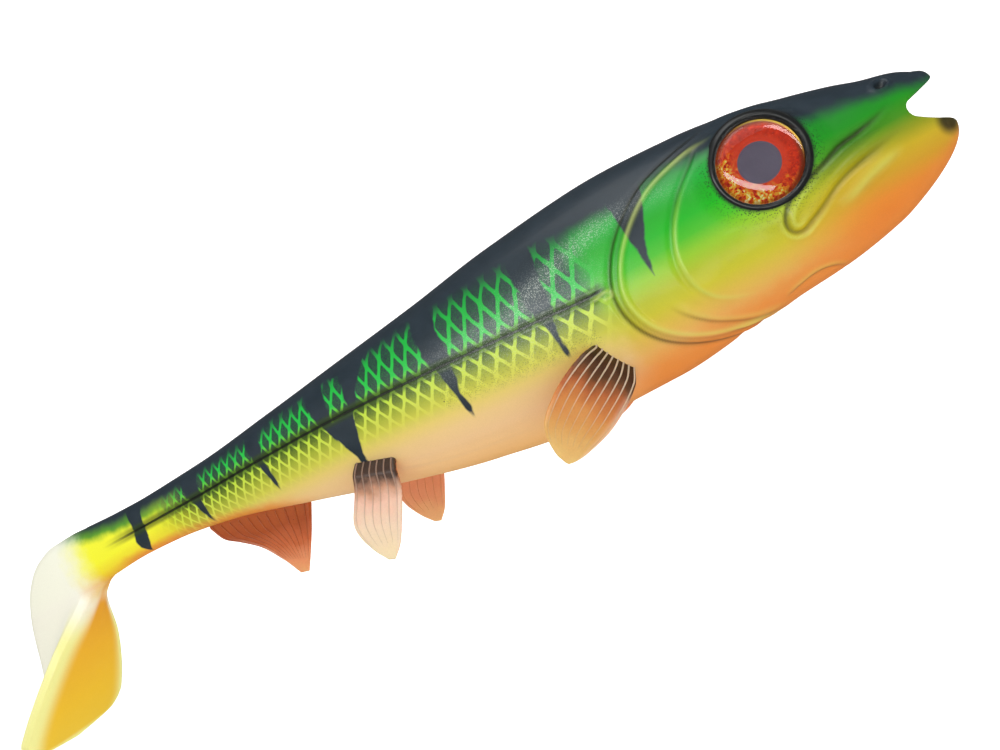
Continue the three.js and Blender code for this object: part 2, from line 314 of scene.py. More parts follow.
# Share of the length, then back, belly and flank as shares of their greatest measure.
outline = np.array([
    (0.0, 0.14, 0.33, 0.16),
    (0.012, 0.27, 0.45, 0.27),
    (0.027, 0.36, 0.545, 0.38),
    (0.052, 0.445, 0.66, 0.51),
    (0.077, 0.55, 0.745, 0.62),
    (0.135, 0.74, 0.845, 0.8),
    (0.212, 0.91, 0.9, 0.93),
    (0.315, 1.0, 1.0, 1.0),
    (0.42, 0.96, 1.0, 0.985),
    (0.52, 0.865, 0.885, 0.89),
    (0.628, 0.785, 0.67, 0.715),
    (0.742, 0.7, 0.395, 0.51),
    (0.855, 0.63, 0.14, 0.34),
    (0.94, 0.622, 0.035, 0.245),
    (1.0, 0.645, 0.01, 0.195),
    (1.05, 0.685, 0.026, 0.184),
])


def smooth_curve(at, known, values):
    """A smooth curve through known points, which never overshoots them."""
    known, values = np.asarray(known, float), np.asarray(values, float)
    slope = np.diff(values) / np.diff(known)
    product = slope[:-1] * slope[1:]
    total = np.where(slope[:-1] + slope[1:] == 0, 1, slope[:-1] + slope[1:])
    bend = np.concatenate([slope[:1], np.where(product > 0, 2 * product / total, 0), slope[-1:]])
    i = np.clip(np.searchsorted(known, at, side="right") - 1, 0, len(known) - 2)
    wide = known[i + 1] - known[i]
    t = np.clip((at - known[i]) / wide, 0, 1)
    return (
        (2 * t**3 - 3 * t**2 + 1) * values[i] + (t**3 - 2 * t**2 + t) * wide * bend[i]
        + (3 * t**2 - 2 * t**3) * values[i + 1] + (t**3 - t**2) * wide * bend[i + 1]
    )


def section(x):
    """Top, bottom and half width of the body at x, in millimetres."""
    share = (jaw_reach - np.asarray(x, float)) / body_length
    top = back_height * smooth_curve(share, outline[:, 0], outline[:, 1])
    bottom = -belly_drop * smooth_curve(share, outline[:, 0], outline[:, 2])
    half = half_width * smooth_curve(share, outline[:, 0], outline[:, 3])
    return top, bottom, half


def flank_at(x, z):
    """Distance of the skin from the middle of the bait."""
    top, bottom, half = section(x)
    share = np.abs(z - (top + bottom) / 2) / ((top - bottom) / 2)
    return half * np.clip(1 - share**section_power, 0, 1) ** (1 / section_power)


print("skin at the eye:", round(float(flank_at(-27.0, 4.2)), 2), "mm from the middle")

# %% Ring angles
ring_points = 288


def even_angles(count, width, height):
    """Angles that space points evenly round a section of that width and height."""
    fine = np.linspace(0, 2 * math.pi, 7201)
    y, z = ring_shape(fine)
    gone = np.concatenate([[0], np.cumsum(np.hypot(np.diff(y) * width, np.diff(z) * height))])
    return np.interp(np.arange(count) * gone[-1] / count, gone, fine)


def ring_shape(angle):
    """A rounded section, one wide and one high. Angle 0 is the top."""
    power = 2 / section_power
    y = -np.sign(np.sin(angle)) * np.abs(np.sin(angle)) ** power
    z = np.sign(np.cos(angle)) * np.abs(np.cos(angle)) ** power
    return y, z


angles = even_angles(ring_points, 15, 19)
print("ring points:", len(angles))

# %% [markdown]
# ## Relief of the head
#
# The mould has gill covers that stand proud, a crease behind the upper jaw, a fold under the
# throat, a groove along the lateral line and a nostril. Each is a line drawn on the side of the
# fish. A point of the skin moves out or in by a rule of its distance from that line.

# %% Lines drawn on the side of the fish, from (x, z) to (x, z)
gill_edge = [(-31, 14.6), (-38, 13.6), (-46, 11.4), (-52, 7.6), (-57, 2.4), (-59.8, -3.5),
             (-59.6, -9), (-57, -14), (-52, -18), (-45, -20.6), (-35, -21.8)]
cheek_edge = [(-34, 13), (-37, 9.8), (-41.5, 6), (-45.2, 1.4), (-47.2, -3.5), (-47.2, -8.5),
              (-45, -12.4), (-40.5, -15), (-36, -16)]
gill_fold_upper = [(-52.5, -9), (-50, -12.6), (-46, -16), (-40, -18.6), (-32, -20.4)]
gill_fold_lower = [(-47, -17.8), (-40, -20), (-32, -21.2), (-26, -21)]
throat_fold = [(-35, -19), (-31.5, -17.9), (-27.5, -17.2), (-24, -17.8), (-20.6, -19.8)]
jaw_crease = [(-3.0, 2.4), (-7.2, 0.9), (-11.2, 0.1), (-15, -0.5), (-18.8, -1.9), (-22.4, -2.9),
              (-25.2, -3.9), (-27.4, -5.6), (-28.5, -7.6), (-28.2, -9.4), (-26.5, -10.1), (-24.4, -9.3),
              (-22, -8.2), (-18.8, -6.4), (-15.6, -5.2), (-11.6, -4.3), (-8, -3.7), (-3.6, -2.8)]
chin_fold = [(-20.5, -9.2), (-17, -8.4), (-13, -7), (-9, -6), (-5, -5)]
brow_fold = [(-38, 12.6), (-33, 14.4), (-27, 15), (-20, 13), (-17.5, 10.4)]
belly_crease = [(-120, -11.2), (-108, -14.4), (-96, -16.4), (-84, -17.6)]
lateral_line = [(-60.5, -2.1), (-66, -1.5), (-74, -0.6), (-85, 0.4), (-97, 1.6), (-109, 2.7), (-122, 3.7),
                (-135, 4.4), (-150, 4.9), (-168, 5.2), (-186, 5.8), (-204, 6.4)]
lateral_hook = [(-63.4, -2.5), (-61.4, -2.2), (-60.2, -2.6), (-60.3, -3.4), (-61.8, -3.6)]


def drawn(points, per_span=8):
    """A smooth line through points, as many short straight steps."""
    points = np.array(points, float)
    gone = np.concatenate([[0], np.cumsum(np.hypot(*np.diff(points, axis=0).T))])
    at = np.linspace(0, gone[-1], per_span * (len(points) - 1) + 1)
    padded = np.vstack([2 * points[0] - points[1], points, 2 * points[-1] - points[-2]])
    i = np.clip(np.searchsorted(gone, at, side="right") - 1, 0, len(points) - 2)
    t = ((at - gone[i]) / (gone[i + 1] - gone[i]))[:, None]
    a, b, c, d = (padded[i + k] for k in range(4))
    return 0.5 * (2 * b + (c - a) * t + (2 * a - 5 * b + 4 * c - d) * t**2 + (3 * b - a - 3 * c + d) * t**3)


def from_line(points, x, z):
    """Distance from a drawn line, the side (positive to its left), and the share along it."""
    line = drawn(points)
    best = np.full(x.shape, 1e9)
    side = np.zeros(x.shape)
    share = np.zeros(x.shape)
    for k in range(len(line) - 1):
        (ax, az), (bx, bz) = line[k], line[k + 1]
        dx, dz = bx - ax, bz - az
        t = np.clip(((x - ax) * dx + (z - az) * dz) / (dx * dx + dz * dz), 0, 1)
        ex, ez = x - ax - t * dx, z - az - t * dz
        far = ex * ex + ez * ez
        nearer = far < best
        best = np.where(nearer, far, best)
        side = np.where(nearer, np.sign(dx * ez - dz * ex), side)
        share = np.where(nearer, (k + t) / (len(line) - 1), share)
    return np.sqrt(best), side, share


def bump_line(far, width):
    """1 on a line and falling smoothly to 0 about two widths away."""
    return np.exp(-((far / width) ** 2))


def rise_between(value, low, high):
    """0 below low, 1 above high, smooth between."""
    t = np.clip((value - low) / (high - low), 0, 1)
    return t * t * (3 - 2 * t)


def ends_fade(share, start, end):
    """Fades a line in over its first part and out over its last."""
    return rise_between(share, 0, start) * (1 - rise_between(share, 1 - end, 1))


# %% Where the eyes sit
eye_radius = 7.5


def eye_frame(side):
    """Matrix of one eye in millimetres: Z looks out of the head, the origin is on the foil's centre."""
    low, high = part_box("eye_foil_" + ("right" if side < 0 else "left"))
    centre = (low + high) / 2 / MM
    out_way = Vector((math.sin(eye_turn) * math.cos(eye_tilt),
                      side * math.cos(eye_turn) * math.cos(eye_tilt), math.sin(eye_tilt)))
    up_way = (Vector((0, 0, 1)) - out_way * out_way.z).normalized()
    across = up_way.cross(out_way)
    turned = Matrix((across, up_way, out_way)).transposed().to_4x4()
    return Matrix.Translation(centre) @ turned


for side in (-1, 1):
    print("eye centre:", [round(v, 2) for v in eye_frame(side).translation])

# %% Relief rule
socket_radius = eye_radius + 0.25
socket_depth = 4.4


def relief(points):
    """How far each skin point moves out, in millimetres, and how much painted shade and painted highlight it
    gets.
    """
    x, y, z = points[..., 0], points[..., 1], points[..., 2]
    out = np.zeros(x.shape)
    # dark is painted shade in the creases, folds and nostril; light is painted highlight on the ridges and
    # lips.
    dark = np.zeros(x.shape)
    light = np.zeros(x.shape)
    head = x > -70
    if head.any():
        hx, hz = x[head], z[head]
        far, way, share = from_line(gill_edge, hx, hz)
        inside = far * way
        cover = rise_between(inside, -0.35, 0.35) * np.exp(-np.clip(inside, 0, None) / 9)
        strength = ends_fade(share, 0.12, 0.12)
        push = 0.62 * cover * strength - 0.2 * bump_line(inside + 0.7, 0.5) * strength
        push += (0.3 * bump_line(inside - 1.7, 0.45) - 0.22 * bump_line(inside - 0.75, 0.4)) * strength
        shade = bump_line(inside + 0.3, 0.4) * strength + 0.35 * bump_line(inside - 0.8, 0.35) * strength
        shine = bump_line(inside - 1.7, 0.4) * strength
        far, way, share = from_line(cheek_edge, hx, hz)
        inside = far * way
        strength = ends_fade(share, 0.1, 0.3)
        push += (0.5 * rise_between(inside, -0.4, 0.4) * np.exp(-np.clip(inside, 0, None) / 6)
                 - 0.15 * bump_line(inside + 0.7, 0.5)) * strength
        shade += 0.55 * bump_line(inside + 0.35, 0.35) * strength * (1 - rise_between(share, 0.2, 0.6))
        shine += bump_line(inside - 0.2, 0.4) * strength * rise_between(share, 0.15, 0.5)
        for fold, tall, wide in ((gill_fold_upper, 0.42, 0.8), (gill_fold_lower, 0.35, 0.7),
                                 (throat_fold, 0.25, 0.5), (chin_fold, 0.55, 1.1),
                                 (brow_fold, 0.35, 0.9)):
            far, way, share = from_line(fold, hx, hz)
            strength = ends_fade(share, 0.3, 0.35)
            push += tall * bump_line(far * way, wide) * strength
            push -= 0.25 * bump_line(far * way + 1.3 * wide, 0.5 * wide) * strength
            if fold in (throat_fold, gill_fold_upper, gill_fold_lower):
                shade += 0.6 * bump_line(far * way + 0.9 * wide, 0.3) * strength
                shine += 0.5 * bump_line(far * way, 0.35) * strength
            if fold is chin_fold:
                shine += 0.9 * bump_line(far * way + 0.4, 0.9) * strength
        far, way, share = from_line(jaw_crease, hx, hz)
        strength = ends_fade(share, 0.2, 0.2)
        round_end = bump_line(share - 0.55, 0.1)
        push += (-0.6 * bump_line(far, 0.55) + 0.45 * bump_line(far * way - 1.2, 0.7)
                 + 0.3 * round_end * bump_line(far * way + 0.9, 0.45)) * strength
        shade += (0.95 * (1 - rise_between(share, 0.4, 0.6)) + 0.45) * bump_line(far, 0.4) * strength
        shade += 0.35 * bump_line(far * way - 0.9, 0.9) * strength * (1 - rise_between(share, 0.2, 0.5))
        shine += round_end * bump_line(far * way + 0.8, 0.3) * strength
        lower_lip = rise_between(share, 0.3, 0.4) * (1 - rise_between(share, 0.55, 0.65))
        shine += 0.8 * bump_line(far * way - 1.2, 0.35) * strength * lower_lip
        nostril = np.hypot((hx + 3.4) / 1.25, (hz - 5.6) / 0.8)
        push += 0.3 * bump_line(nostril - 1.25, 0.45) - 0.75 * (1 - rise_between(nostril, 0.3, 1.1))
        shade += 0.6 * (1 - rise_between(nostril, 0.3, 1.0))
        out[head] += push
        dark[head] += shade
        light[head] += shine
    far, way, share = from_line(lateral_line, x, z)
    strength = rise_between(share, 0, 0.02) * (1 - rise_between(share, 0.86, 1))
    out += (-0.28 * bump_line(far, 0.32) + 0.1 * bump_line(far - 0.8, 0.4)) * strength
    if head.any():
        far, way, share = from_line(lateral_hook, hx, hz)
        out[head] += 0.2 * bump_line(far, 0.4)
        light[head] += 1.2 * bump_line(far, 0.28)
    far, way, share = from_line(belly_crease, x, z)
    out += (0.12 * bump_line(far, 0.5) - 0.1 * bump_line(far - 1.0, 0.5)) * ends_fade(share, 0.2, 0.2)
    return out, np.clip(dark, 0, 1), np.clip(light, 0, 1)


# %% [markdown]
# ## Mouth
#
# The mouth is a notch between the jaws. Its back edge is a curve down the middle of the snout, and
# every skin point ahead of that curve is pushed back to it, with a soft minimum that leaves round
# lips. The jaws therefore stay one closed surface with the head.

# %% Mouth rule
mouth_edge = [(-8.0, 8.5), (-6.8, 6.4), (-5.8, 4.9), (-4.6, 2.5), (-3.3, 0.2), (-1.9, -1.6), (-0.7, -2.0),
              (0.4, -1.5), (1.1, 0.2), (1.6, 2.2), (2.1, 4.0), (2.9, 6.0), (4.2, 8.5)]
lip_round = 0.8
mouth_reach = -6.0


def press_mouth(points):
    """Where each point's x goes when it is pushed back to the mouth's edge."""
    x, z = points[..., 0], points[..., 2]
    heights = [row[0] for row in mouth_edge]
    edge = smooth_curve(np.clip(z, heights[0], heights[-1]), heights, [row[1] for row in mouth_edge])
    h = np.clip(0.5 + 0.5 * (edge - x) / lip_round, 0, 1)
    soft = edge * (1 - h) + x * h - lip_round * h * (1 - h)
    pressed = np.minimum(x, soft + 0.25 * lip_round * (x < -2))
    return np.where(x > mouth_reach, pressed, x)


# %% Paint plan on the skin
# The dark back comes down to this height: (x, z).
back_edge = [(8, 2.6), (3, 3.0), (-1, 3.9), (-6, 5.2), (-11, 6.4), (-17, 7.2), (-24, 8.0), (-31, 10.4),
             (-36, 11.6), (-42, 12.2), (-48, 11.6), (-54, 11.4), (-60, 11.6), (-68, 12.4), (-80, 12.8),
             (-95, 12.9), (-112, 12.4), (-125, 12.0), (-137, 11.2), (-146, 10.6), (-160, 10.0),
             (-176, 9.6), (-187, 10.0),
             (-197, 11.2), (-205, 12.4), (-214, 15.0), (-250, 19.0)]
# Each bar: height, front edge, rear edge.
bars = [
    [(12, -46.5, -54.0), (9, -47.2, -53.4), (6, -48.5, -53.1), (3, -49.8, -52.9), (0, -50.9, -52.6),
     (-2.5, -51.5, -52.3), (-4.6, -52.0, -52.0)],
    [(14, -70.6, -75.4), (7, -70.9, -75.2), (3, -71.2, -74.9), (0, -71.2, -74.7), (-2, -71.8, -74.1),
     (-5, -72.4, -73.6), (-8, -72.2, -73.5), (-10.8, -72.7, -72.7)],
    [(14, -94.6, -99.6), (9, -94.5, -99.2), (5, -94.1, -98.8), (1, -94.3, -97.9), (-2, -94.5, -97.3),
     (-4.8, -95.4, -96.7), (-8, -94.8, -96.5), (-11.2, -95.7, -95.7)],
    [(14, -111.0, -132.0), (11.5, -113.5, -130.6), (8, -116.2, -129.8), (5, -118.0, -129.0),
     (2.5, -119.6, -128.0), (0, -120.4, -127.0), (-3, -121.4, -125.5), (-5.5, -122.4, -124.4),
     (-9, -122.6, -124.4)],
    [(12, -145.8, -150.4), (8, -146.3, -149.8), (5, -146.9, -149.0), (2, -146.4, -148.3),
     (-1, -146.2, -147.7), (-4.2, -146.8, -146.8)],
    [(12, -166.5, -173.0), (8, -167.6, -172.2), (5, -168.2, -171.4), (2, -168.3, -170.4),
     (-2.4, -169.2, -169.4)],
    [(14, -184.0, -194.5), (11, -186.6, -192.8), (8, -187.6, -191.8), (6, -187.6, -191.9),
     (3.5, -188.3, -193.1), (1.8, -189.2, -193.0), (0.4, -190.6, -191.8), (-0.4, -191.3, -191.3)],
]
# The one pair of crossing net lines that stands alone in the widest bar.
lone_cross = (-122.7, 8.0, 2.9, 4.4)
line_heights = np.array(sorted((x, z) for x, z in lateral_line[1:]))
cell_near_head = 4.1
cell_shrink = 0.0142
cell_start = 65.0
crossing_on_line = 87.1
# A streak over the shoulder where pearly flake lies, lit up as a painted highlight.
pearl_highlight_streak = [(-37, 3.6), (-41, 6.6), (-46, 8.8), (-55, 9.0), (-62, 8.0), (-69, 6.2), (-76, 4.2),
                (-84, 2.4)]
jaw_tip = (3.4, -5.6)
eye_place = (-27.0, 4.2)


def paint_plan(points):
    """Numbers that the paint reads at each point of the skin."""
    x, y, z = points[..., 0], points[..., 1], points[..., 2]
    edge = np.array(sorted(back_edge))
    above_edge = z - np.interp(x, edge[:, 0], edge[:, 1])
    rise = z - np.interp(x, line_heights[:, 0], line_heights[:, 1])
    inside = np.full(x.shape, -9.0)
    for bar in bars:
        rows = np.array(bar)[::-1]
        front = np.interp(z, rows[:, 0], rows[:, 1])
        rear = np.interp(z, rows[:, 0], rows[:, 2])
        this = np.minimum(front - x, x - rear)
        this = np.where(z < rows[0, 0], -9, this)
        inside = np.maximum(inside, this)
    cx, cz, wide, tall = lone_cross
    cross = 1 - np.maximum(np.abs(x - cx) / wide, np.abs(z - cz) / tall)
    net = np.maximum(-inside, cross * 3)
    top, bottom, half = section(np.clip(x, -207, jaw_reach))
    level = (z - bottom) / (top - bottom)
    pitch = np.clip(cell_near_head - cell_shrink * (-x - cell_start), 2.2, 5)
    cells = -np.log(pitch / cell_near_head) / cell_shrink
    pitch_there = cell_near_head - cell_shrink * (crossing_on_line - cell_start)
    across = cells + math.log(pitch_there / cell_near_head) / cell_shrink
    row_height = 6.4 * pitch / 3.9
    stretch = 1 + 0.03 * np.clip(rise, -2, 8)
    # Pearly flake with a painted highlight on the shoulder, faded out towards the head.
    far, way, share = from_line(pearl_highlight_streak, x, z)
    pearl_and_highlight = bump_line(far, 1.7) * ends_fade(share, 0.25, 0.25)
    pearl_and_highlight += 0.42 * bump_line(np.hypot((x + 74) / 13, (z - 0.5) / 6), 1.0)
    pearl_and_highlight += 0.3 * bump_line(np.hypot((x + 90) / 16, (z - 1) / 4), 1.0)
    pearl_and_highlight *= 1 - 0.75 * rise_between(x, -60, -48)
    from_eye = np.hypot(x - eye_place[0], z - eye_place[1])
    spray = 0.85 * np.exp(-np.clip(from_eye - 9.3, 0, None) / 1.3) * (z < 9)
    spray += 0.3 * (1 - rise_between(rise, -6, -1)) * rise_between(rise, -10, -7) * (x > -100) * (x < -66)
    black = 1 - rise_between(from_eye, 8.4, 9.3)
    tip = np.hypot(x - jaw_tip[0], (z - jaw_tip[1]) / 1.1)
    black = np.maximum(black, 0.9 * (1 - rise_between(tip, 1.0, 3.0)) * (z < -3))
    return {
        "Back": above_edge, "Rise": rise, "Level": level, "Bars": inside, "Net": net,
        "Pearl": np.clip(pearl_and_highlight, 0, 1), "Spray": spray, "Black": black,
        "Scales": np.stack([across, rise / (row_height * stretch)], -1),
    }


print("bars:", len(bars), "rows of the lateral line:", len(line_heights))

# %% [markdown]
# ## Paint
#
# The bait is white plastic under sprayed paint: a slate back, a green shoulder, a yellow side and an
# orange throat and belly. A net was laid on it and sprayed over, which leaves the bright diamond
# net on dark cells. Pearly flake is dusted over the shoulder, with a streak of painted highlight.
# Painted shade lies in the creases of the head and on the boot's sole, and painted highlights lie on
# the head's ridges and the boot's heel. A thin gloss coat covers it all.
# Each effect is a node group, so that the skin, the tail and the fins can share it.

# %% Group: grain of the spray
grain_group, given, result = new_group(
    "spray_grain", [("Size", "Float", 0.2)], [("Grain", "Float"), ("Drift", "Float")])
spot = put(grain_group, "ShaderNodeTexCoord").outputs["Object"]
frequency = calc(grain_group, "DIVIDE", 1000.0, given["Size"])
fine = put(grain_group, "ShaderNodeTexNoise", {
    "Vector": spot, "Scale": frequency, "Detail": 2.0, "Roughness": 0.6})
wide = put(grain_group, "ShaderNodeTexNoise", {
    "Vector": spot, "Scale": 260.0, "Detail": 3.0, "Roughness": 0.55})
grain_group.links.new(fine.outputs["Fac"], result["Grain"])
grain_group.links.new(wide.outputs["Fac"], result["Drift"])

# %% Group: flakes and specks
speck_group, given, result = new_group(
    "scattered_specks", [("Spacing", "Float", 1.0), ("Share", "Float", 0.3), ("Size", "Float", 0.3)],
    [("Speck", "Float")])
spot = put(speck_group, "ShaderNodeTexCoord").outputs["Object"]
cells = put(speck_group, "ShaderNodeTexVoronoi", {
    "Vector": spot, "Scale": calc(speck_group, "DIVIDE", 1000.0, given["Spacing"])})
chance = put(speck_group, "ShaderNodeSeparateColor", {"Color": cells.outputs["Color"]}).outputs["Red"]
chosen = calc(speck_group, "LESS_THAN", chance, given["Share"])
near = calc(speck_group, "LESS_THAN", cells.outputs["Distance"], given["Size"])
speck_group.links.new(calc(speck_group, "MULTIPLY", chosen, near), result["Speck"])

# %% Group: diamond net
net_group, given, result = new_group(
    "diamond_net", [("Vector", "Vector", None), ("Line", "Float", 0.1)], [("Net", "Float")])
apart = put(net_group, "ShaderNodeSeparateXYZ", {"Vector": given["Vector"]})
first = calc(net_group, "PINGPONG", calc(net_group, "ADD", apart.outputs["X"], apart.outputs["Y"]), 0.5)
second = calc(net_group, "PINGPONG", calc(net_group, "SUBTRACT", apart.outputs["X"], apart.outputs["Y"]), 0.5)
gap_size = calc(net_group, "SMOOTH_MIN", first, second, 0.22)
soft_edge = 0.022
thin = calc(net_group, "SUBTRACT", given["Line"], soft_edge)
thick = calc(net_group, "ADD", given["Line"], soft_edge)
net_group.links.new(fade(net_group, gap_size, thin, thick, 1.0, 0.0), result["Net"])

# %% Skin material
skin_paint, tree, out = new_material("skin_paint")


def stored(tree, name):
    """A number stored on the mesh."""
    return put(tree, "ShaderNodeAttribute", attribute_name=name).outputs["Fac"]


spot = put(tree, "ShaderNodeTexCoord").outputs["Object"]
place = put(tree, "ShaderNodeSeparateXYZ", {"Vector": spot})
x = calc(tree, "MULTIPLY", place.outputs["X"], 1000.0)
height = calc(tree, "MULTIPLY", place.outputs["Z"], 1000.0)
grain = use_group(tree, grain_group, {"Size": 0.22})
drift = calc(tree, "SUBTRACT", grain["Drift"], 0.5)
fuzz = calc(tree, "SUBTRACT", grain["Grain"], 0.5)
above_edge = calc(tree, "MULTIPLY_ADD", drift, 2.2, stored(tree, "Back"))
rise = stored(tree, "Rise")
in_bar = calc(tree, "MULTIPLY_ADD", drift, 1.3, stored(tree, "Bars"))
in_net = calc(tree, "MULTIPLY_ADD", drift, 1.8, stored(tree, "Net"))
level = stored(tree, "Level")

snout_side = sprayed(tree, height, [
    (-21, 236, 120, 20), (-15, 238, 128, 22), (-12, 236, 140, 30), (-9, 214, 158, 14),
    (-6, 206, 176, 10), (-3.5, 150, 158, 4), (-1, 70, 148, 4), (2, 16, 150, 14),
    (8, 6, 130, 40)])
cheek_side = sprayed(tree, height, [
    (-22, 236, 140, 52), (-19, 237, 156, 72), (-16, 234, 176, 86), (-13, 224, 188, 66),
    (-10, 206, 198, 24), (-7, 182, 194, 2), (-4, 148, 204, 0), (-1, 70, 196, 0),
    (2, 0, 188, 0), (5, 0, 176, 14), (8, 0, 176, 50), (12, 0, 124, 46)])
body_side = sprayed(tree, rise, [
    (-22, 242, 184, 108), (-19, 243, 194, 130), (-15, 244, 202, 146), (-12, 243, 206, 138),
    (-9.5, 236, 210, 112), (-7, 218, 214, 70), (-4, 196, 212, 44), (-1.8, 150, 190, 24),
    (0.3, 88, 180, 20), (3, 18, 192, 48), (9, 0, 172, 50), (12, 0, 128, 44)])
tail_side = sprayed(tree, height, [
    (-34, 232, 200, 40), (-12, 240, 206, 40), (-3, 240, 190, 36), (-0.8, 238, 176, 34),
    (1.4, 250, 228, 20), (4, 255, 252, 30), (9, 254, 255, 40), (14, 240, 248, 60)])
forward = fade(tree, x, -34.0, -12.0)
to_body = fade(tree, calc(tree, "MULTIPLY_ADD", drift, 6.0, x), -59.0, -67.0)
to_tail = fade(tree, calc(tree, "MULTIPLY_ADD", drift, 8.0, x), -160.0, -192.0)
colour = blend_colour(tree, forward, cheek_side, snout_side)
colour = blend_colour(tree, to_body, colour, body_side)
colour = blend_colour(tree, to_tail, colour, tail_side)

# Painted shade: the sole's face, which looks ahead and down, is a deeper amber, deepest at its top.
sole_shade_colour = sprayed(tree, height, [
    (-34, 246, 206, 40), (-24, 248, 198, 16), (-14, 246, 184, 8), (-6, 240, 166, 14),
    (-2, 236, 156, 24)])
green_edge = calc(tree, "MULTIPLY", fade(tree, above_edge, -4.2, -1.6), to_tail)
colour = blend_colour(tree, green_edge, colour, paint(96, 168, 24))
# Painted glare: behind the wrist the boot pales to near white, as where strong light falls on it.
heel_glare = calc(tree, "MULTIPLY", fade(tree, calc(tree, "MULTIPLY_ADD", drift, 6.0, x), -207.0, -219.0), 0.95)
colour = blend_colour(tree, heel_glare, colour, paint(255, 255, 240))
colour = blend_colour(tree, stored(tree, "Rim"), colour, paint(250, 246, 128))
# The sole's painted shade.
colour = blend_colour(tree, stored(tree, "Sole"), colour, sole_shade_colour)

# The belly is warmest along its lowest strip, at the throat and again ahead of the tail.
low_strip = fade(tree, calc(tree, "MULTIPLY_ADD", drift, 0.12, level), 0.2, 0.02)
warm_rear = fade(tree, x, -138.0, -156.0)
warm_front = fade(tree, x, -84.0, -62.0)
warm = calc(tree, "MULTIPLY", low_strip, calc(tree, "MAXIMUM", warm_rear, warm_front))
warm = calc(tree, "MULTIPLY", warm, fade(tree, x, -206.0, -196.0))
colour = blend_colour(tree, calc(tree, "MULTIPLY", warm, 0.8), colour, paint(236, 138, 44))

# %% Skin material: net, cells and bars
slate = blend_colour(tree, grain["Drift"], paint(28, 42, 52), paint(42, 58, 70))
scales = put(tree, "ShaderNodeUVMap", uv_map="Scales").outputs["UV"]
wander = put(tree, "ShaderNodeTexNoise", {"Vector": spot, "Scale": 420.0, "Detail": 1.0})
nudge = put(tree, "ShaderNodeVectorMath", {
    0: wander.outputs["Color"], 1: (-0.5, -0.5, -0.5)}, operation="ADD")
nudge = put(tree, "ShaderNodeVectorMath", {0: nudge.outputs[0], "Scale": 0.1}, operation="SCALE")
scales = put(tree, "ShaderNodeVectorMath", {0: scales, 1: nudge.outputs[0]}, operation="ADD").outputs[0]
net = use_group(tree, net_group, {"Vector": scales, "Line": 0.108})
on_net = fade(tree, in_net, 0.1, 0.75)
upper = fade(tree, rise, 0.2, 1.2)
past_shoulder = fade(tree, calc(tree, "MULTIPLY_ADD", drift, 5.0, x), -60.0, -66.5)
before_tail = fade(tree, calc(tree, "MULTIPLY_ADD", drift, 7.0, x), -184.0, -172.0)

# Cells: slate above the line, olive below it and lighter towards the belly.
cell = calc(tree, "SUBTRACT", 1.0, net["Net"])
low_cell = ramp(tree, rise, [
    (-9.5, (0, 0, 0, 1)), (-7.0, (0.08, 0.08, 0.08, 1)), (-4.2, (0.4, 0.4, 0.4, 1)),
    (-2.0, (0.78, 0.78, 0.78, 1)), (1.0, (0.96, 0.96, 0.96, 1))])
cell_strength = calc(tree, "MULTIPLY", calc(tree, "MULTIPLY", cell, low_cell), past_shoulder)
dusty = calc(tree, "MULTIPLY_ADD", fuzz, 1.1, 0.92)
cell_strength = calc(tree, "MULTIPLY", cell_strength, dusty, clamp=True)
cell_strength = calc(tree, "MULTIPLY", cell_strength, before_tail)
cell_colour = blend_colour(tree, upper, paint(58, 70, 10), slate)
line_colour = sprayed(tree, rise, [
    (-6, 222, 226, 84), (-2, 206, 232, 60), (0.6, 130, 214, 44), (2.5, 16, 206, 70),
    (8, 0, 186, 62), (12, 0, 146, 54)])
line_share = calc(tree, "MULTIPLY", net["Net"], past_shoulder)
line_share = calc(tree, "MULTIPLY", line_share, fade(tree, rise, -9.0, -3.0, 0.0, 0.9))
line_share = calc(tree, "MULTIPLY", line_share, before_tail)
colour = blend_colour(tree, line_share, colour, line_colour)
colour = blend_colour(tree, cell_strength, colour, cell_colour)

# The back, and every place above the line that has no net, is slate.
off_net = calc(tree, "SUBTRACT", 1.0, on_net)
above_line = fade(tree, rise, -0.6, 0.6)
bare_upper = calc(tree, "MULTIPLY", calc(tree, "MULTIPLY", off_net, above_line), past_shoulder)
bare_upper = calc(tree, "MULTIPLY", bare_upper, before_tail)
bar = fade(tree, in_bar, -0.25, 0.3)
lone = fade(tree, in_net, 0.3, -0.3)
bar = calc(tree, "MULTIPLY", bar, lone)
back = fade(tree, above_edge, -2.6, 0.9)
dark = calc(tree, "MAXIMUM", back, calc(tree, "MAXIMUM", bar, bare_upper))
colour = blend_colour(tree, dark, colour, slate)

# %% Skin material: lateral line, painted crease shade and highlights, flake and specks
near_line = calc(tree, "ABSOLUTE", rise)
on_line = calc(tree, "MULTIPLY", fade(tree, x, -60.0, -62.5), fade(tree, x, -204.0, -190.0))
band = calc(tree, "MULTIPLY", fade(tree, near_line, 1.7, 0.7), on_line)
groove = calc(tree, "MULTIPLY", fade(tree, near_line, 0.42, 0.16), on_line)
colour = blend_colour(tree, calc(tree, "MULTIPLY", band, 0.68), colour, paint(52, 76, 4))
colour = blend_colour(tree, calc(tree, "MULTIPLY", groove, 0.88), colour, paint(16, 20, 8))
# Painted shade in the head's creases and folds, and painted highlights on its ridges and lips.
colour = blend_colour(tree, calc(tree, "MULTIPLY", stored(tree, "Crease"), 0.75), colour, paint(46, 42, 14))
colour = blend_colour(tree, calc(tree, "MULTIPLY", stored(tree, "Shine"), 0.45), colour, paint(214, 232, 110))
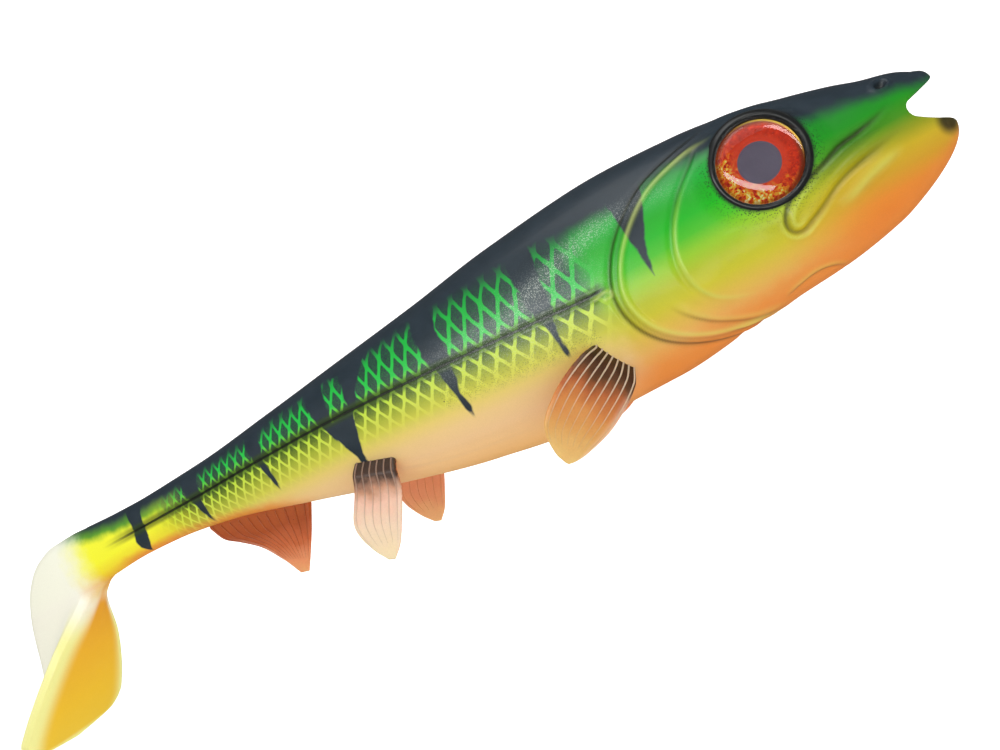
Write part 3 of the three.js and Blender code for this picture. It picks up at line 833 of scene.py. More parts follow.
# Pearly flake and a pale veil over the shoulder: partly the flake, partly a painted highlight.
flake = use_group(tree, speck_group, {"Spacing": 0.17, "Share": 0.45, "Size": 0.42})
flake_and_highlight_share = calc(tree, "MULTIPLY", flake["Speck"], stored(tree, "Pearl"))
pearl_and_highlight_veil = calc(tree, "MULTIPLY", stored(tree, "Pearl"), 0.12)
colour = blend_colour(tree, pearl_and_highlight_veil, colour, paint(190, 214, 196))
colour = blend_colour(tree, calc(tree, "MULTIPLY", flake_and_highlight_share, 0.6), colour, paint(232, 240, 232))
overspray = use_group(tree, speck_group, {"Spacing": 0.3, "Share": 0.6, "Size": 0.4})
speckled = calc(tree, "MULTIPLY", overspray["Speck"], stored(tree, "Spray"))
colour = blend_colour(tree, speckled, colour, paint(18, 24, 14))
colour = blend_colour(tree, stored(tree, "Black"), colour, paint(14, 16, 18))
dirt = use_group(tree, speck_group, {"Spacing": 5.0, "Share": 0.3, "Size": 0.028})
colour = blend_colour(tree, calc(tree, "MULTIPLY", dirt["Speck"], 0.85), colour, paint(30, 22, 12))
tone = calc(tree, "MULTIPLY_ADD", fuzz, 0.16, 1.0)
colour = put(tree, "ShaderNodeHueSaturation", {"Color": colour, "Value": tone}).outputs["Color"]

# %% Skin material: surface
rough = calc(tree, "MULTIPLY_ADD", grain["Drift"], 0.16, 0.34)
mound = calc(tree, "MULTIPLY_ADD", grain["Drift"], 0.5, grain["Grain"])
ripple = put(tree, "ShaderNodeBump", {"Height": mound, "Strength": 0.14, "Distance": 0.00012})
shell = put(tree, "ShaderNodeBsdfPrincipled", {
    "Base Color": colour, "Roughness": rough, "Normal": ripple.outputs["Normal"], "IOR": 1.48,
    "Coat Weight": 0.12, "Coat Roughness": 0.14})
tree.links.new(shell.outputs[0], out.inputs["Surface"])
print("skin paint nodes:", len(tree.nodes))

# %% [markdown]
# ## From numbers to closed meshes
#
# A stretch of skin is a grid: rings along the body, points round each ring. The front stretch ends
# in a ridge line at the jaws and the others end in flat caps, which meet inside the plastic and
# are never seen. The paint's numbers are stored on the mesh as attributes and a UV map.

# %% Mesh helpers
def grid_normals(points):
    """Outward direction of a grid of rings."""
    along = np.gradient(points, axis=0)
    round_ring = np.roll(points, -1, axis=1) - np.roll(points, 1, axis=1)
    normal = np.cross(along, round_ring)
    size = np.linalg.norm(normal, axis=-1, keepdims=True)
    normal = normal / np.where(size < 1e-12, 1, size)
    centre = points.mean(axis=1, keepdims=True)
    facing = np.sign(((points - centre) * normal).sum(-1).mean())
    return normal * (facing if facing else 1)


def store(mesh, name, values):
    """Stores one number for each point of a mesh."""
    mesh.attributes.new(name, "FLOAT", "POINT").data.foreach_set("value", values.astype(np.float32).ravel())


def store_uv(mesh, name, pairs):
    """Stores a UV map from one pair of numbers for each point of a mesh."""
    layer = mesh.uv_layers.new(name=name)
    corners = np.zeros(len(mesh.loops), np.int32)
    mesh.loops.foreach_get("vertex_index", corners)
    layer.data.foreach_set("uv", pairs.reshape(-1, 2)[corners].astype(np.float32).ravel())


def ring_faces(rings, count):
    """Quads between neighbouring rings, front to back, facing out."""
    i, j = np.meshgrid(np.arange(rings - 1), np.arange(count), indexing="ij")
    k = (j + 1) % count
    quads = np.stack([i * count + j, i * count + k, (i + 1) * count + k, (i + 1) * count + j], -1)
    return quads.reshape(-1, 4).tolist()


def finish_mesh(name, points, faces, material, numbers=None):
    """A smooth-shaded object in metres, closed and facing out, with stored numbers."""
    mesh = bpy.data.meshes.new(name)
    mesh.from_pydata((points.reshape(-1, 3) * MM).tolist(), [], faces)
    for label, values in (numbers or {}).items():
        if label in ("Scales", "Disc"):
            store_uv(mesh, label, values)
        else:
            store(mesh, label, values)
    work = bmesh.new()
    work.from_mesh(mesh)
    bmesh.ops.remove_doubles(work, verts=work.verts, dist=0.001 * MM)
    bmesh.ops.dissolve_degenerate(work, edges=work.edges, dist=0.0005 * MM)
    bmesh.ops.recalc_face_normals(work, faces=work.faces)
    open_edges = sum(1 for e in work.edges if not e.is_manifold)
    volume = work.calc_volume(signed=True)
    if volume < 0:
        bmesh.ops.reverse_faces(work, faces=work.faces)
    for face in work.faces:
        face.smooth = len(face.verts) <= 4
        if len(face.verts) > 4:
            for e in face.edges:
                e.smooth = False
    work.to_mesh(mesh)
    work.free()
    made = bpy.data.objects.new(name, mesh)
    bpy.context.scene.collection.objects.link(made)
    made.data.materials.append(material)
    print(name, len(mesh.polygons), "faces,", open_edges, "open edges,", round(abs(volume) * 1e6, 2), "cm3")
    return made


# %% Skin stretches
def skin_rings(stations):
    """Rings of the body at these places."""
    top, bottom, half = section(stations)
    y, z = ring_shape(angles)
    middle, tall = (top + bottom) / 2, (top - bottom) / 2
    return np.stack([
        np.repeat(stations[:, None], ring_points, 1), half[:, None] * y[None, :],
        middle[:, None] + tall[:, None] * z[None, :],
    ], -1)


snout_round = 2.6
snout_rings = 16
tip_round = 1.3


def snout_cap():
    """Rings that close the snout: they follow its outline while the sides draw in to a ridge line."""
    front = skin_rings(np.array([jaw_reach - snout_round]))[0]
    front_top, front_low = front[:, 2].max(), front[:, 2].min()
    middle = (front_top + front_low) / 2
    lift = front[:, 2] - middle
    rings = []
    for k in range(1, snout_rings + 1):
        turn = math.pi / 2 * k / snout_rings
        x = jaw_reach - snout_round + snout_round * math.sin(turn)
        top, low, _ = section(x)
        past = max(0.0, (x - jaw_reach + tip_round) / tip_round)
        tuck = tip_round * (1 - math.sqrt(max(0.0, 1 - past**2)))
        high, deep = (top + front_top) / 2 - tuck, low + 0.7 * tuck
        ring = front.copy()
        ring[:, 0] = x
        ring[:, 1] *= math.cos(turn)
        above, below = (high - middle) / (front_top - middle), (middle - deep) / (middle - front_low)
        ring[:, 2] = middle + lift * np.where(lift > 0, above, below)
        rings.append(ring)
    rings[-1][:, 1] = 0
    return np.array(rings)


def skin_stretch(name, stations, material, snout=False):
    """One closed stretch of the skin with its relief and its paint numbers."""
    rings = skin_rings(stations)
    if snout:
        rings = np.concatenate([snout_cap()[::-1], rings])
    plan = paint_plan(rings)
    out, dark, light = relief(rings)
    # Painted shade for the creases and painted highlights for the ridges.
    plan["Crease"], plan["Shine"] = dark, light
    moved = rings + grid_normals(rings) * out[..., None]
    if snout:
        moved = seat_eyes(moved)
        moved[..., 0] = press_mouth(moved)
        mirror = (ring_points - np.arange(ring_points)) % ring_points
        moved[0] = (moved[0] + moved[0][mirror]) / 2
        moved[0][:, 1] = 0
    faces = ring_faces(len(rings), ring_points)
    if not snout:
        faces.append(list(range(ring_points))[::-1])
    faces.append(list(range((len(rings) - 1) * ring_points, len(rings) * ring_points)))
    return finish_mesh(name, moved, faces, material, plan)

# %% Seats for the eyes
skin_over_foil = 2.3
boss_inner = 8.2
boss_outer = 13.0


def seat_eyes(points):
    """Levels a boss round each eye, square to the way it looks, and sinks the socket into it."""
    moved = points.copy()
    for side in (-1, 1):
        frame_in = np.array(eye_frame(side).inverted())
        axis = np.array(eye_frame(side))[:3, 2]
        local = points @ frame_in[:3, :3].T + frame_in[:3, 3]
        radius = np.hypot(local[..., 0], local[..., 1])
        mine = (points[..., 1] * side > 0) & (points[..., 0] > -70)
        above = np.clip(local[..., 1] / np.maximum(radius, 1), 0, 1)
        level_share = 1 - rise_between(radius, boss_inner, boss_outer - 3.2 * above)
        lift = (skin_over_foil - local[..., 2]) * level_share
        pit = socket_depth * (1 - rise_between(radius, socket_radius - 0.5, socket_radius + 0.15))
        moved += np.where(mine, lift - pit, 0)[..., None] * axis
    return moved


# %% Make the skin
def stations(front, back, step):
    """Places from front to back about a step apart."""
    return np.linspace(front, back, int(round(abs(front - back) / step)) + 1)


head_stations = np.concatenate([stations(jaw_reach - snout_round, -4, 0.22), stations(-4, -70, 0.36)[1:]])
head_skin = skin_stretch("head_skin", head_stations, skin_paint, snout=True)
waist_skin = skin_stretch("waist_skin", stations(-70, -110, 0.5), skin_paint)
hip_skin = skin_stretch("hip_skin", stations(-110, -155, 0.5), skin_paint)
stem_skin = skin_stretch("stem_skin", stations(-155, -187.5, 0.5), skin_paint)
kick_skin = skin_stretch("kick_skin", stations(-187.5, -207, 0.4), skin_paint)

# %% [markdown]
# ## Boot tail
#
# Behind the wrist the stem spreads into a boot: a thick sole that faces ahead and down, with side
# walls that sweep in to the thin heel. Its half width is a rule of the place on the side of the
# fish. Each ring walks round that rule's edge in even steps, so the rims stay crisp.

# %% Boot rule
hinge_x, hinge_z = -212.5, -3.8
sole_sweep = math.radians(47)
sole_length = 42.0
sole_half = 16.0
sole_thickness = 4.5
sole_corner = 6.0
rim_round = 1.3
wall_depth = 4.6
wall_round = 1.5
sole_shape = [(-0.15, 0.0), (-0.1, 0.08), (0.0, 0.16), (0.1, 0.28), (0.22, 0.45), (0.36, 0.64), (0.55, 0.82),
              (0.74, 0.95), (0.857, 1.0)]
instep = [(-250, 2.2), (-238, 2.8), (-228, 3.6), (-221, 4.3), (-216, 4.6), (-213, 4.4), (-211, 3.7),
          (-209, 2.6), (-207, 1.15)]
heel_top = [(-250, -36), (-245.2, -32), (-243.8, -22), (-241.5, -10), (-238, 0.5), (-233, 8), (-227, 12.2),
            (-220, 13.9), (-213, 13.9), (-207, 13.4)]
heel_low = [(-250, -39), (-243, -32.2), (-212.5, -3.8), (-210, -1.7), (-207, -0.6)]
heel_half = [(-250, 1.3), (-244, 1.6), (-236, 2.2), (-226, 2.7), (-216, 3.0), (-207, 3.05)]


def rows_curve(rows, at):
    """A smooth curve through rows of (place, value)."""
    return smooth_curve(at, [r[0] for r in rows], [r[1] for r in rows])


def boot_sides(x, z):
    """Half width of the boot at a place on its side, how far along the sole, and how far behind its face."""
    dx, dz = x - hinge_x, z - hinge_z
    along = -dx * math.sin(sole_sweep) - dz * math.cos(sole_sweep)
    face = hinge_z + (dx * math.cos(sole_sweep) - sole_thickness / 2) / math.sin(sole_sweep)
    face = face + rows_curve(instep, x)
    behind_face = (z - face) * math.sin(sole_sweep)
    share_down = np.clip(along / sole_length, sole_shape[0][0], sole_shape[-1][0])
    past = np.clip(along - (sole_length - sole_corner), 0, sole_corner)
    wide = sole_half * rows_curve(sole_shape, share_down)
    wide = wide - sole_corner + np.sqrt(np.clip(sole_corner**2 - past**2, 0, None))
    front_rim = np.clip(1 - behind_face / rim_round, 0, 1)
    low_rim = np.clip((along - (sole_length - rim_round)) / rim_round, 0, 1)
    rim = np.sqrt(1 - front_rim**2) * np.sqrt(1 - low_rim**2)
    behind = np.clip(behind_face - sole_thickness + 1.2, 0, None)
    wall = np.exp(-((behind / wall_depth) ** 1.3))
    top, low, half = rows_curve(heel_top, x), rows_curve(heel_low, x), rows_curve(heel_half, x)
    share = np.abs(z - (top + low) / 2) / ((top - low) / 2)
    heel = half * np.clip(1 - share**section_power, 0, 1) ** (1 / section_power)
    under_top = np.clip((top - z) / 3.0, 0, 1)
    crown = np.sqrt(1 - (1 - under_top) ** 2)
    outside = (along > sole_length) | (behind_face < 0) | (z > top)
    sole = np.where(outside, 0, np.clip(wide, 0, None) * rim * wall * crown)
    heel = np.where(outside, 0, heel)
    h = np.clip(0.5 + 0.5 * (sole - heel) / wall_round, 0, 1)
    joined = heel * (1 - h) + sole * h + wall_round * h * (1 - h) * np.minimum(1, np.minimum(sole, heel))
    return joined, along, behind_face


def boot_ring(x, count):
    """A closed ring round the boot at x, its points evenly spaced."""
    z = np.linspace(16, -38, 5401)
    half, along, ahead = boot_sides(np.full(z.shape, x), z)
    solid = np.nonzero(half > 0)[0]
    first, last = solid[0], solid[-1]
    z, half = z[first:last + 1], half[first:last + 1]
    z = np.concatenate([z[:1], z, z[-1:]])
    half = np.concatenate([[0], half, [0]])
    gone = np.concatenate([[0], np.cumsum(np.hypot(np.diff(z), np.diff(half)))])
    at = np.linspace(0, gone[-1], count // 2 + 1)
    zs, ys = np.interp(at, gone, z), np.interp(at, gone, half)
    right_side = np.stack([np.full(zs.shape, x), -ys, zs], -1)
    left_side = np.stack([np.full(zs.shape, x), ys, zs], -1)[1:-1][::-1]
    return np.concatenate([right_side, left_side])


# %% Make the boot
boot_points = 320
boot_places = np.concatenate([stations(-207, -240.5, 0.4), stations(-240.5, -244.6, 0.13)[1:]])
boot_rings = np.array([boot_ring(place, boot_points) for place in boot_places])
_, sole_along, behind_face = boot_sides(boot_rings[..., 0], boot_rings[..., 2])
boot_plan = paint_plan(boot_rings)
edge_half = sole_half * rows_curve(sole_shape, np.clip(sole_along / sole_length, 0, sole_shape[-1][0]))
on_face = 1 - rise_between(behind_face, 0.3, 1.0)
# The sole's shade fades out over its rim: 2 mm on the left side, and a wider band on the right side that
# stays pale as painted glare.
rim_fade_and_glare = 2.0 + 4.5 * (1 - rise_between(boot_rings[..., 1], -3, 3))
from_rim = np.minimum((edge_half - np.abs(boot_rings[..., 1])) / rim_fade_and_glare, (sole_length - sole_along) / 2.2)
# Where the sole's painted shade lies: on its face, short of its rim.
boot_plan["Sole"] = on_face * rise_between(from_rim, 0.08, 1.0) * rise_between(sole_along, -7.5, -4.5)
boot_plan["Rim"] = (1 - rise_between(behind_face, 2.0, 7.0)) * rise_between(sole_along, 2, 12) * 0.8
faces = ring_faces(len(boot_rings), boot_points)
faces.append(list(range(boot_points))[::-1])
faces.append(list(range((len(boot_rings) - 1) * boot_points, len(boot_rings) * boot_points)))
boot_tail = finish_mesh("boot_tail", boot_rings, faces, skin_paint, boot_plan)

# %% [markdown]
# ## Fins
#
# The fins are thin webs of the same plastic with raised rays that fan from the root. Each one is a
# closed sheet between two drawn edges, thick at its root, which is sunk in the skin, and thin at
# its tip. It bends where it leaves the body.

# %% Fin material
def fin_paint(name, shades, ray_shade, ray_share):
    """Fin plastic: a spray from the root to the tip, with lighter rays."""
    made, tree, out = new_material(name)
    grain = use_group(tree, grain_group, {"Size": 0.3})
    drift = calc(tree, "SUBTRACT", grain["Drift"], 0.5)
    down = calc(tree, "MULTIPLY_ADD", drift, 0.3, stored(tree, "Down"))
    colour = sprayed(tree, down, shades)
    ray = calc(tree, "MULTIPLY", stored(tree, "Ray"), fade(tree, down, 0.9, 0.25, 0.15, 1.0))
    colour = blend_colour(tree, calc(tree, "MULTIPLY", ray, ray_share), colour, ray_shade)
    lead = calc(tree, "MULTIPLY", stored(tree, "Lead"), 0.6)
    colour = blend_colour(tree, lead, colour, paint(246, 214, 190))
    # The faces of the fin towards the body are orange, paler towards the tip.
    inner_face_colour = blend_colour(tree, fade(tree, down, 0.55, 1.0), paint(226, 138, 88), paint(236, 176, 112))
    colour = blend_colour(tree, calc(tree, "MULTIPLY", stored(tree, "Inner"), 0.9), colour, inner_face_colour)
    dirt = use_group(tree, speck_group, {"Spacing": 3.0, "Share": 0.3, "Size": 0.04})
    colour = blend_colour(tree, calc(tree, "MULTIPLY", dirt["Speck"], 0.7), colour, paint(60, 34, 14))
    tone = calc(tree, "MULTIPLY_ADD", calc(tree, "SUBTRACT", grain["Grain"], 0.5), 0.2, 1.0)
    colour = put(tree, "ShaderNodeHueSaturation", {"Color": colour, "Value": tone}).outputs["Color"]
    ripple = put(tree, "ShaderNodeBump", {"Height": grain["Grain"], "Strength": 0.18, "Distance": 0.00012})
    shell = put(tree, "ShaderNodeBsdfPrincipled", {
        "Base Color": colour, "Roughness": calc(tree, "MULTIPLY_ADD", grain["Drift"], 0.15, 0.3),
        "Normal": ripple.outputs["Normal"], "IOR": 1.48, "Subsurface Weight": 0.25,
        "Subsurface Radius": (0.0014, 0.0007, 0.0004), "Subsurface Scale": 1.0})
    tree.links.new(shell.outputs[0], out.inputs["Surface"])
    return made


pectoral_paint = fin_paint("pectoral_paint", [
    (-0.1, 58, 34, 18), (0.06, 66, 38, 20), (0.2, 104, 62, 28), (0.34, 190, 102, 48),
    (0.5, 218, 138, 66), (0.72, 226, 166, 88), (1.0, 234, 198, 120)], paint(236, 206, 176), 0.7)
pelvic_paint = fin_paint("pelvic_paint", [
    (-0.1, 50, 36, 30), (0.14, 84, 60, 46), (0.26, 206, 150, 118), (0.42, 244, 198, 172),
    (0.62, 246, 216, 186), (1.0, 244, 224, 180)], paint(196, 160, 140), 0.5)
anal_paint = fin_paint("anal_paint", [
    (-0.15, 196, 98, 30), (0.2, 178, 80, 22), (0.5, 206, 104, 52), (0.75, 232, 146, 96),
    (1.0, 236, 170, 110)], paint(150, 66, 24), 0.35)

# %% [markdown]
# ### Rays
#
# The rays are thin ribs that repeat across a fin and follow lines on it. Geometry Nodes suit that:
# the lines go in, a small circle is swept along each, and its size falls from the root to the tip.
# The result is turned into a plain mesh.

# %% Tree: ribs along lines
rib_tree = bpy.data.node_groups.new("ribs_along_lines", "GeometryNodeTree")
rib_inputs = {}
for label, kind in (("Lines", "Geometry"), ("Root Radius", "Float"), ("Tip Radius", "Float"),
                    ("Sides", "Int"), ("Material", "Material")):
    socket = rib_tree.interface.new_socket(label, in_out="INPUT", socket_type="NodeSocket" + kind)
    rib_inputs[label] = socket.identifier
rib_tree.interface.new_socket("Ribs", in_out="OUTPUT", socket_type="NodeSocketGeometry")
given = put(rib_tree, "NodeGroupInput").outputs
lines = put(rib_tree, "GeometryNodeMeshToCurve", {"Mesh": given["Lines"]}).outputs["Curve"]
gone = put(rib_tree, "GeometryNodeSplineParameter").outputs["Factor"]
size = put(rib_tree, "ShaderNodeMapRange", {
    "Value": gone, "To Min": given["Root Radius"], "To Max": given["Tip Radius"]}).outputs["Result"]
ring = put(rib_tree, "GeometryNodeCurvePrimitiveCircle", {
    "Resolution": given["Sides"], "Radius": 1.0}).outputs["Curve"]
tubes = put(rib_tree, "GeometryNodeCurveToMesh", {
    "Curve": lines, "Profile Curve": ring, "Scale": size, "Fill Caps": True}).outputs["Mesh"]
smooth = put(rib_tree, "GeometryNodeSetShadeSmooth", {"Geometry": tubes}).outputs["Geometry"]
real = put(rib_tree, "GeometryNodeRealizeInstances", {"Geometry": smooth}).outputs["Geometry"]
painted = put(rib_tree, "GeometryNodeSetMaterial", {
    "Geometry": real, "Material": given["Material"]}).outputs["Geometry"]
rib_tree.links.new(painted, put(rib_tree, "NodeGroupOutput").inputs["Ribs"])
ray_radius, ray_tip_radius, ray_sides, ray_reach = 0.2, 0.07, 8, 0.8


def make_rays(name, paths, shares, inners, material):
    """Ribs that follow lines on a fin, as a plain mesh. Shares say how far down the fin each point is."""
    points = np.concatenate(paths)
    long = len(paths[0])
    edges = [(long * i + k, long * i + k + 1) for i in range(len(paths)) for k in range(long - 1)]
    mesh = bpy.data.meshes.new(name)
    mesh.from_pydata((points * MM).tolist(), edges, [])
    store(mesh, "Down", np.concatenate(shares))
    store(mesh, "Ray", np.ones(len(points)))
    store(mesh, "Inner", inners)
    ribs = bpy.data.objects.new(name, mesh)
    bpy.context.scene.collection.objects.link(ribs)
    modifier = ribs.modifiers.new("ribs", "NODES")
    modifier.node_group = rib_tree
    for label, value in (("Root Radius", ray_radius * MM), ("Tip Radius", ray_tip_radius * MM),
                         ("Sides", ray_sides), ("Material", material)):
        modifier[rib_inputs[label]] = value
    plain = bpy.data.meshes.new_from_object(ribs.evaluated_get(bpy.context.evaluated_depsgraph_get()))
    ribs.modifiers.clear()
    ribs.data = plain
    print(name, len(plain.polygons), "faces in", len(paths), "ribs")
    return ribs


# %% Fin rule
fin_across, fin_down, root_rows = 150, 84, 6
fin_thickness = 1.5
fin_edge_round = 0.9
root_depths = (2.6, 0.4)
# Share of the fin's thickness at each share of its length.
fin_taper = [(-0.15, 1.35), (0, 1.15), (0.3, 0.75), (1.0, 0.42)]


def fin_web(name, rear_edge, front_edge, root, length, root_start, root_way, fan_way, material, rays,
            lean=0.0, sink=0.0, side=0):
    """A fin between two drawn edges, each a list of shares of the root and of the length."""
    way_x = Vector(root_way).normalized()
    way_z = way_x.cross(Vector(fan_way)).normalized()
    way_y = np.array(way_z.cross(way_x))
    way_x, way_z = np.array(way_x), np.array(way_z)

    def even(points):
        line = drawn([(a * root, b * length) for a, b in points], 24)
        gone = np.concatenate([[0], np.cumsum(np.hypot(*np.diff(line, axis=0).T))])
        at = np.linspace(0, gone[-1], fin_down)
        return np.stack([np.interp(at, gone, line[:, k]) for k in range(2)], -1)

    first, second = even(rear_edge), even(front_edge)
    s = (1 - np.cos(np.linspace(0, math.pi, fin_across))) / 2 * 0.35 + np.linspace(0, 1, fin_across) * 0.65
    flat = first[:, None] * (1 - s)[None, :, None] + second[:, None] * s[None, :, None]
    buried = flat[:1].repeat(root_rows, 0).copy()
    buried[..., 1] -= np.linspace(*root_depths, root_rows)[:, None]
    flat = np.concatenate([buried, flat])
    down = flat[..., 1] / length
    across = np.broadcast_to(s, down.shape)
    width = np.hypot(*(flat[:, -1] - flat[:, 0]).T)[:, None]
    from_side = np.minimum(across, 1 - across) * width
    steps = np.linspace(0, 1, fin_down)
    to_tip = np.concatenate([np.full(root_rows, 1.0), 1 - steps])[:, None] * length
    near_edge = np.clip(np.minimum(from_side, to_tip) / fin_edge_round, 0, 1)
    edge = np.sqrt(np.clip(1 - (1 - near_edge) ** 2, 0, 1))
    half = fin_thickness / 2 * edge * np.interp(down, *zip(*fin_taper))
    curl = lean * np.clip(down, 0, 1) ** 2 - sink * (1 - rise_between(down, -0.12, 0.13))
    sheets = []
    middle = np.array(root_start) + flat[..., :1] * way_x + flat[..., 1:] * way_y
    for face in (1, -1):
        sheets.append(middle + (curl + face * half)[..., None] * way_z)
    rows, columns = down.shape
    i, j = np.meshgrid(np.arange(rows - 1), np.arange(columns - 1), indexing="ij")
    k = i * columns + j
    near = np.stack([k, k + 1, k + columns + 1, k + columns], -1).reshape(-1, 4)
    far = near[:, ::-1] + rows * columns
    top, base = np.arange(columns - 1), rows * columns
    root_wall = np.stack([top, top + base, top + 1 + base, top + 1], -1)
    inner = [1.0 if face * way_z[1] * side < 0 else 0.0 for face in (1, -1)]
    lead = rise_between(across, 0.86, 1.0) * rise_between(down, 0.15, 0.4)
    numbers = {
        "Down": np.stack([down, down]), "Ray": np.zeros((2, *down.shape)), "Lead": np.stack([lead, lead]),
        "Inner": np.stack([np.full(down.shape, value) for value in inner]),
    }
    faces = near.tolist() + far.tolist() + root_wall.tolist()
    web = finish_mesh(name, np.stack(sheets), faces, material, numbers)
    at = np.searchsorted(s, (np.arange(rays) + 0.5) / rays)
    on_fin = slice(root_rows - 1, int(root_rows + ray_reach * fin_down))
    paths = [sheet[on_fin, column] for sheet in sheets for column in at]
    shares = [down[on_fin, column] for column in at] * 2
    inners = np.repeat(inner, rays * len(shares[0]))
    return web, make_rays(name.replace("web", "rays"), paths, shares, inners, material)


# %% Paired fins
pectoral_root, pectoral_length = 9.6, 21.4
pelvic_root, pelvic_length = 10.1, 20.4
pectoral_rear = [(0, 0), (-0.17, 0.14), (-0.27, 0.45), (-0.2, 0.73), (-0.03, 0.86), (0.33, 0.967), (0.6, 1.0)]
pectoral_front = [(1, 0), (1.1, 0.14), (1.14, 0.33), (1.09, 0.59), (0.92, 0.83), (0.79, 0.945), (0.68, 1.0)]
pelvic_rear = [(0, 0), (-0.04, 0.27), (-0.19, 0.57), (-0.1, 0.73), (0.19, 0.89), (0.5, 1.0)]
pelvic_front = [(1, 0), (1.08, 0.25), (1.03, 0.45), (0.94, 0.65), (0.83, 0.85), (0.66, 1.0)]
stand_off = 1.25
root_sink = 3.0


def on_skin(x, z, side):
    """A point that stands just off the flank."""
    return Vector((x, side * (float(flank_at(x, z)) + stand_off), z))


paired = {}
for side, label in ((-1, "right"), (1, "left")):
    top_end = on_skin(-67.5, -9.8, side)
    low_end = on_skin(-63.3, -17.75, side)
    paired["pectoral_" + label] = fin_web(
        "pectoral_web_" + label, pectoral_rear, pectoral_front, pectoral_root, pectoral_length, top_end,
        low_end - top_end, (-0.8, side * 0.28, -0.52), pectoral_paint, 8,
        lean=-1.2 * side, sink=root_sink * side, side=side)
    rear_end = on_skin(-126.35, -6.73, side)
    fore_end = on_skin(-116.65, -9.76, side)
    paired["pelvic_" + label] = fin_web(
        "pelvic_web_" + label, pelvic_rear, pelvic_front, pelvic_root, pelvic_length, rear_end,
        fore_end - rear_end, (-0.3, side * 0.06, -0.95), pelvic_paint, 6,
        lean=0.8 * side, sink=root_sink * side, side=side)

# %% Anal fin
anal_root, anal_length = 28.6, 15.7
anal_fore = Vector((-146.5, 0, -9.2))
anal_rear = Vector((-175.1, 0, -2.47))
anal_web, anal_rays = fin_web(
    "anal_web", [(0, 0), (0.066, 0.38), (0.145, 0.745), (0.2, 0.98)],
    [(1, 0), (0.9, 0.21), (0.76, 0.31), (0.57, 0.465), (0.4, 0.73), (0.28, 0.98)], anal_root, anal_length,
    anal_fore, anal_rear - anal_fore, (0, 0, -1), anal_paint, 11)

# %% [markdown]
# ## Eyes
#
# Each eye is a pad of glue, a printed foil disc with a matt pupil, and a cast dome that is clear as
# glass. They are turned shapes, so each is a profile spun round the way the eye looks. A soft
# black lip of the pour holds the dome.

# %% Eye materials
eye_pad_paint, tree, out = new_material("eye_pad_paint")
grain = use_group(tree, grain_group, {"Size": 0.5})
colour = blend_colour(tree, grain["Grain"], paint(22, 22, 24), paint(40, 40, 42))
shell = put(tree, "ShaderNodeBsdfPrincipled", {"Base Color": colour, "Roughness": 0.85})
tree.links.new(shell.outputs[0], out.inputs["Surface"])

lip_paint, tree, out = new_material("lip_paint")
grain = use_group(tree, grain_group, {"Size": 0.35})
colour = blend_colour(tree, grain["Grain"], paint(12, 14, 15), paint(30, 34, 34))
ripple = put(tree, "ShaderNodeBump", {"Height": grain["Grain"], "Strength": 0.2, "Distance": 0.0002})
shell = put(tree, "ShaderNodeBsdfPrincipled", {
    "Base Color": colour, "Roughness": calc(tree, "MULTIPLY_ADD", grain["Drift"], 0.2, 0.25),
    "Normal": ripple.outputs["Normal"], "IOR": 1.48, "Coat Weight": 0.3, "Coat Roughness": 0.1})
tree.links.new(shell.outputs[0], out.inputs["Surface"])

eye_foil_print, tree, out = new_material("eye_foil_print")
disc = put(tree, "ShaderNodeUVMap", uv_map="Disc").outputs["UV"]
parts = put(tree, "ShaderNodeSeparateXYZ", {"Vector": disc})
radius = put(tree, "ShaderNodeVectorMath", {0: disc}, operation="LENGTH").outputs["Value"]
shards = put(tree, "ShaderNodeTexVoronoi", {"Vector": disc, "Scale": 2.6})
chance = put(tree, "ShaderNodeSeparateColor", {"Color": shards.outputs["Color"]})
swirl = put(tree, "ShaderNodeTexNoise", {
    "Vector": disc, "Scale": 0.55, "Detail": 5.0, "Roughness": 0.75, "Distortion": 1.2})
low = calc(tree, "MULTIPLY", parts.outputs["Y"], -0.6)
low_left = calc(tree, "ADD", low, calc(tree, "MULTIPLY", parts.outputs["X"], -0.8))
flaky = fade(tree, low_left, -2.5, 5.0)
mottle = calc(tree, "MULTIPLY_ADD", swirl.outputs["Fac"], 2.6, -1.3)
mottle = calc(tree, "MULTIPLY_ADD", calc(tree, "SUBTRACT", chance.outputs["Red"], 0.5), 0.5, mottle)
contrast = calc(tree, "MULTIPLY_ADD", flaky, 0.75, 0.18)
gold = calc(tree, "MULTIPLY_ADD", contrast, mottle, calc(tree, "MULTIPLY_ADD", flaky, 0.26, 0.34))
iris = sprayed(tree, gold, [
    (0.0, 70, 22, 8), (0.2, 168, 30, 10), (0.4, 222, 54, 20), (0.55, 236, 100, 22),
    (0.7, 246, 168, 36), (0.85, 252, 220, 84), (1.0, 255, 246, 190)])
round_pupil = calc(tree, "MULTIPLY", fade(tree, radius, 5.2, 4.2), 0.75)
iris = blend_colour(tree, round_pupil, iris, paint(226, 70, 40))
rim = fade(tree, radius, 6.75, 7.0)
iris = blend_colour(tree, fade(tree, radius, 6.0, 6.8), iris, paint(120, 44, 10))
iris = blend_colour(tree, rim, iris, paint(214, 190, 60))
# The black pupil is printed grey-violet: a painted reflection of the white surroundings in it.
pupil = fade(tree, radius, 3.62, 3.52)
colour = blend_colour(tree, pupil, iris, paint(96, 90, 106))
metal = calc(tree, "MULTIPLY", calc(tree, "SUBTRACT", 1.0, pupil), 0.55)
tilt = put(tree, "ShaderNodeBump", {"Height": chance.outputs["Green"], "Strength": 0.25, "Distance": 0.0002})
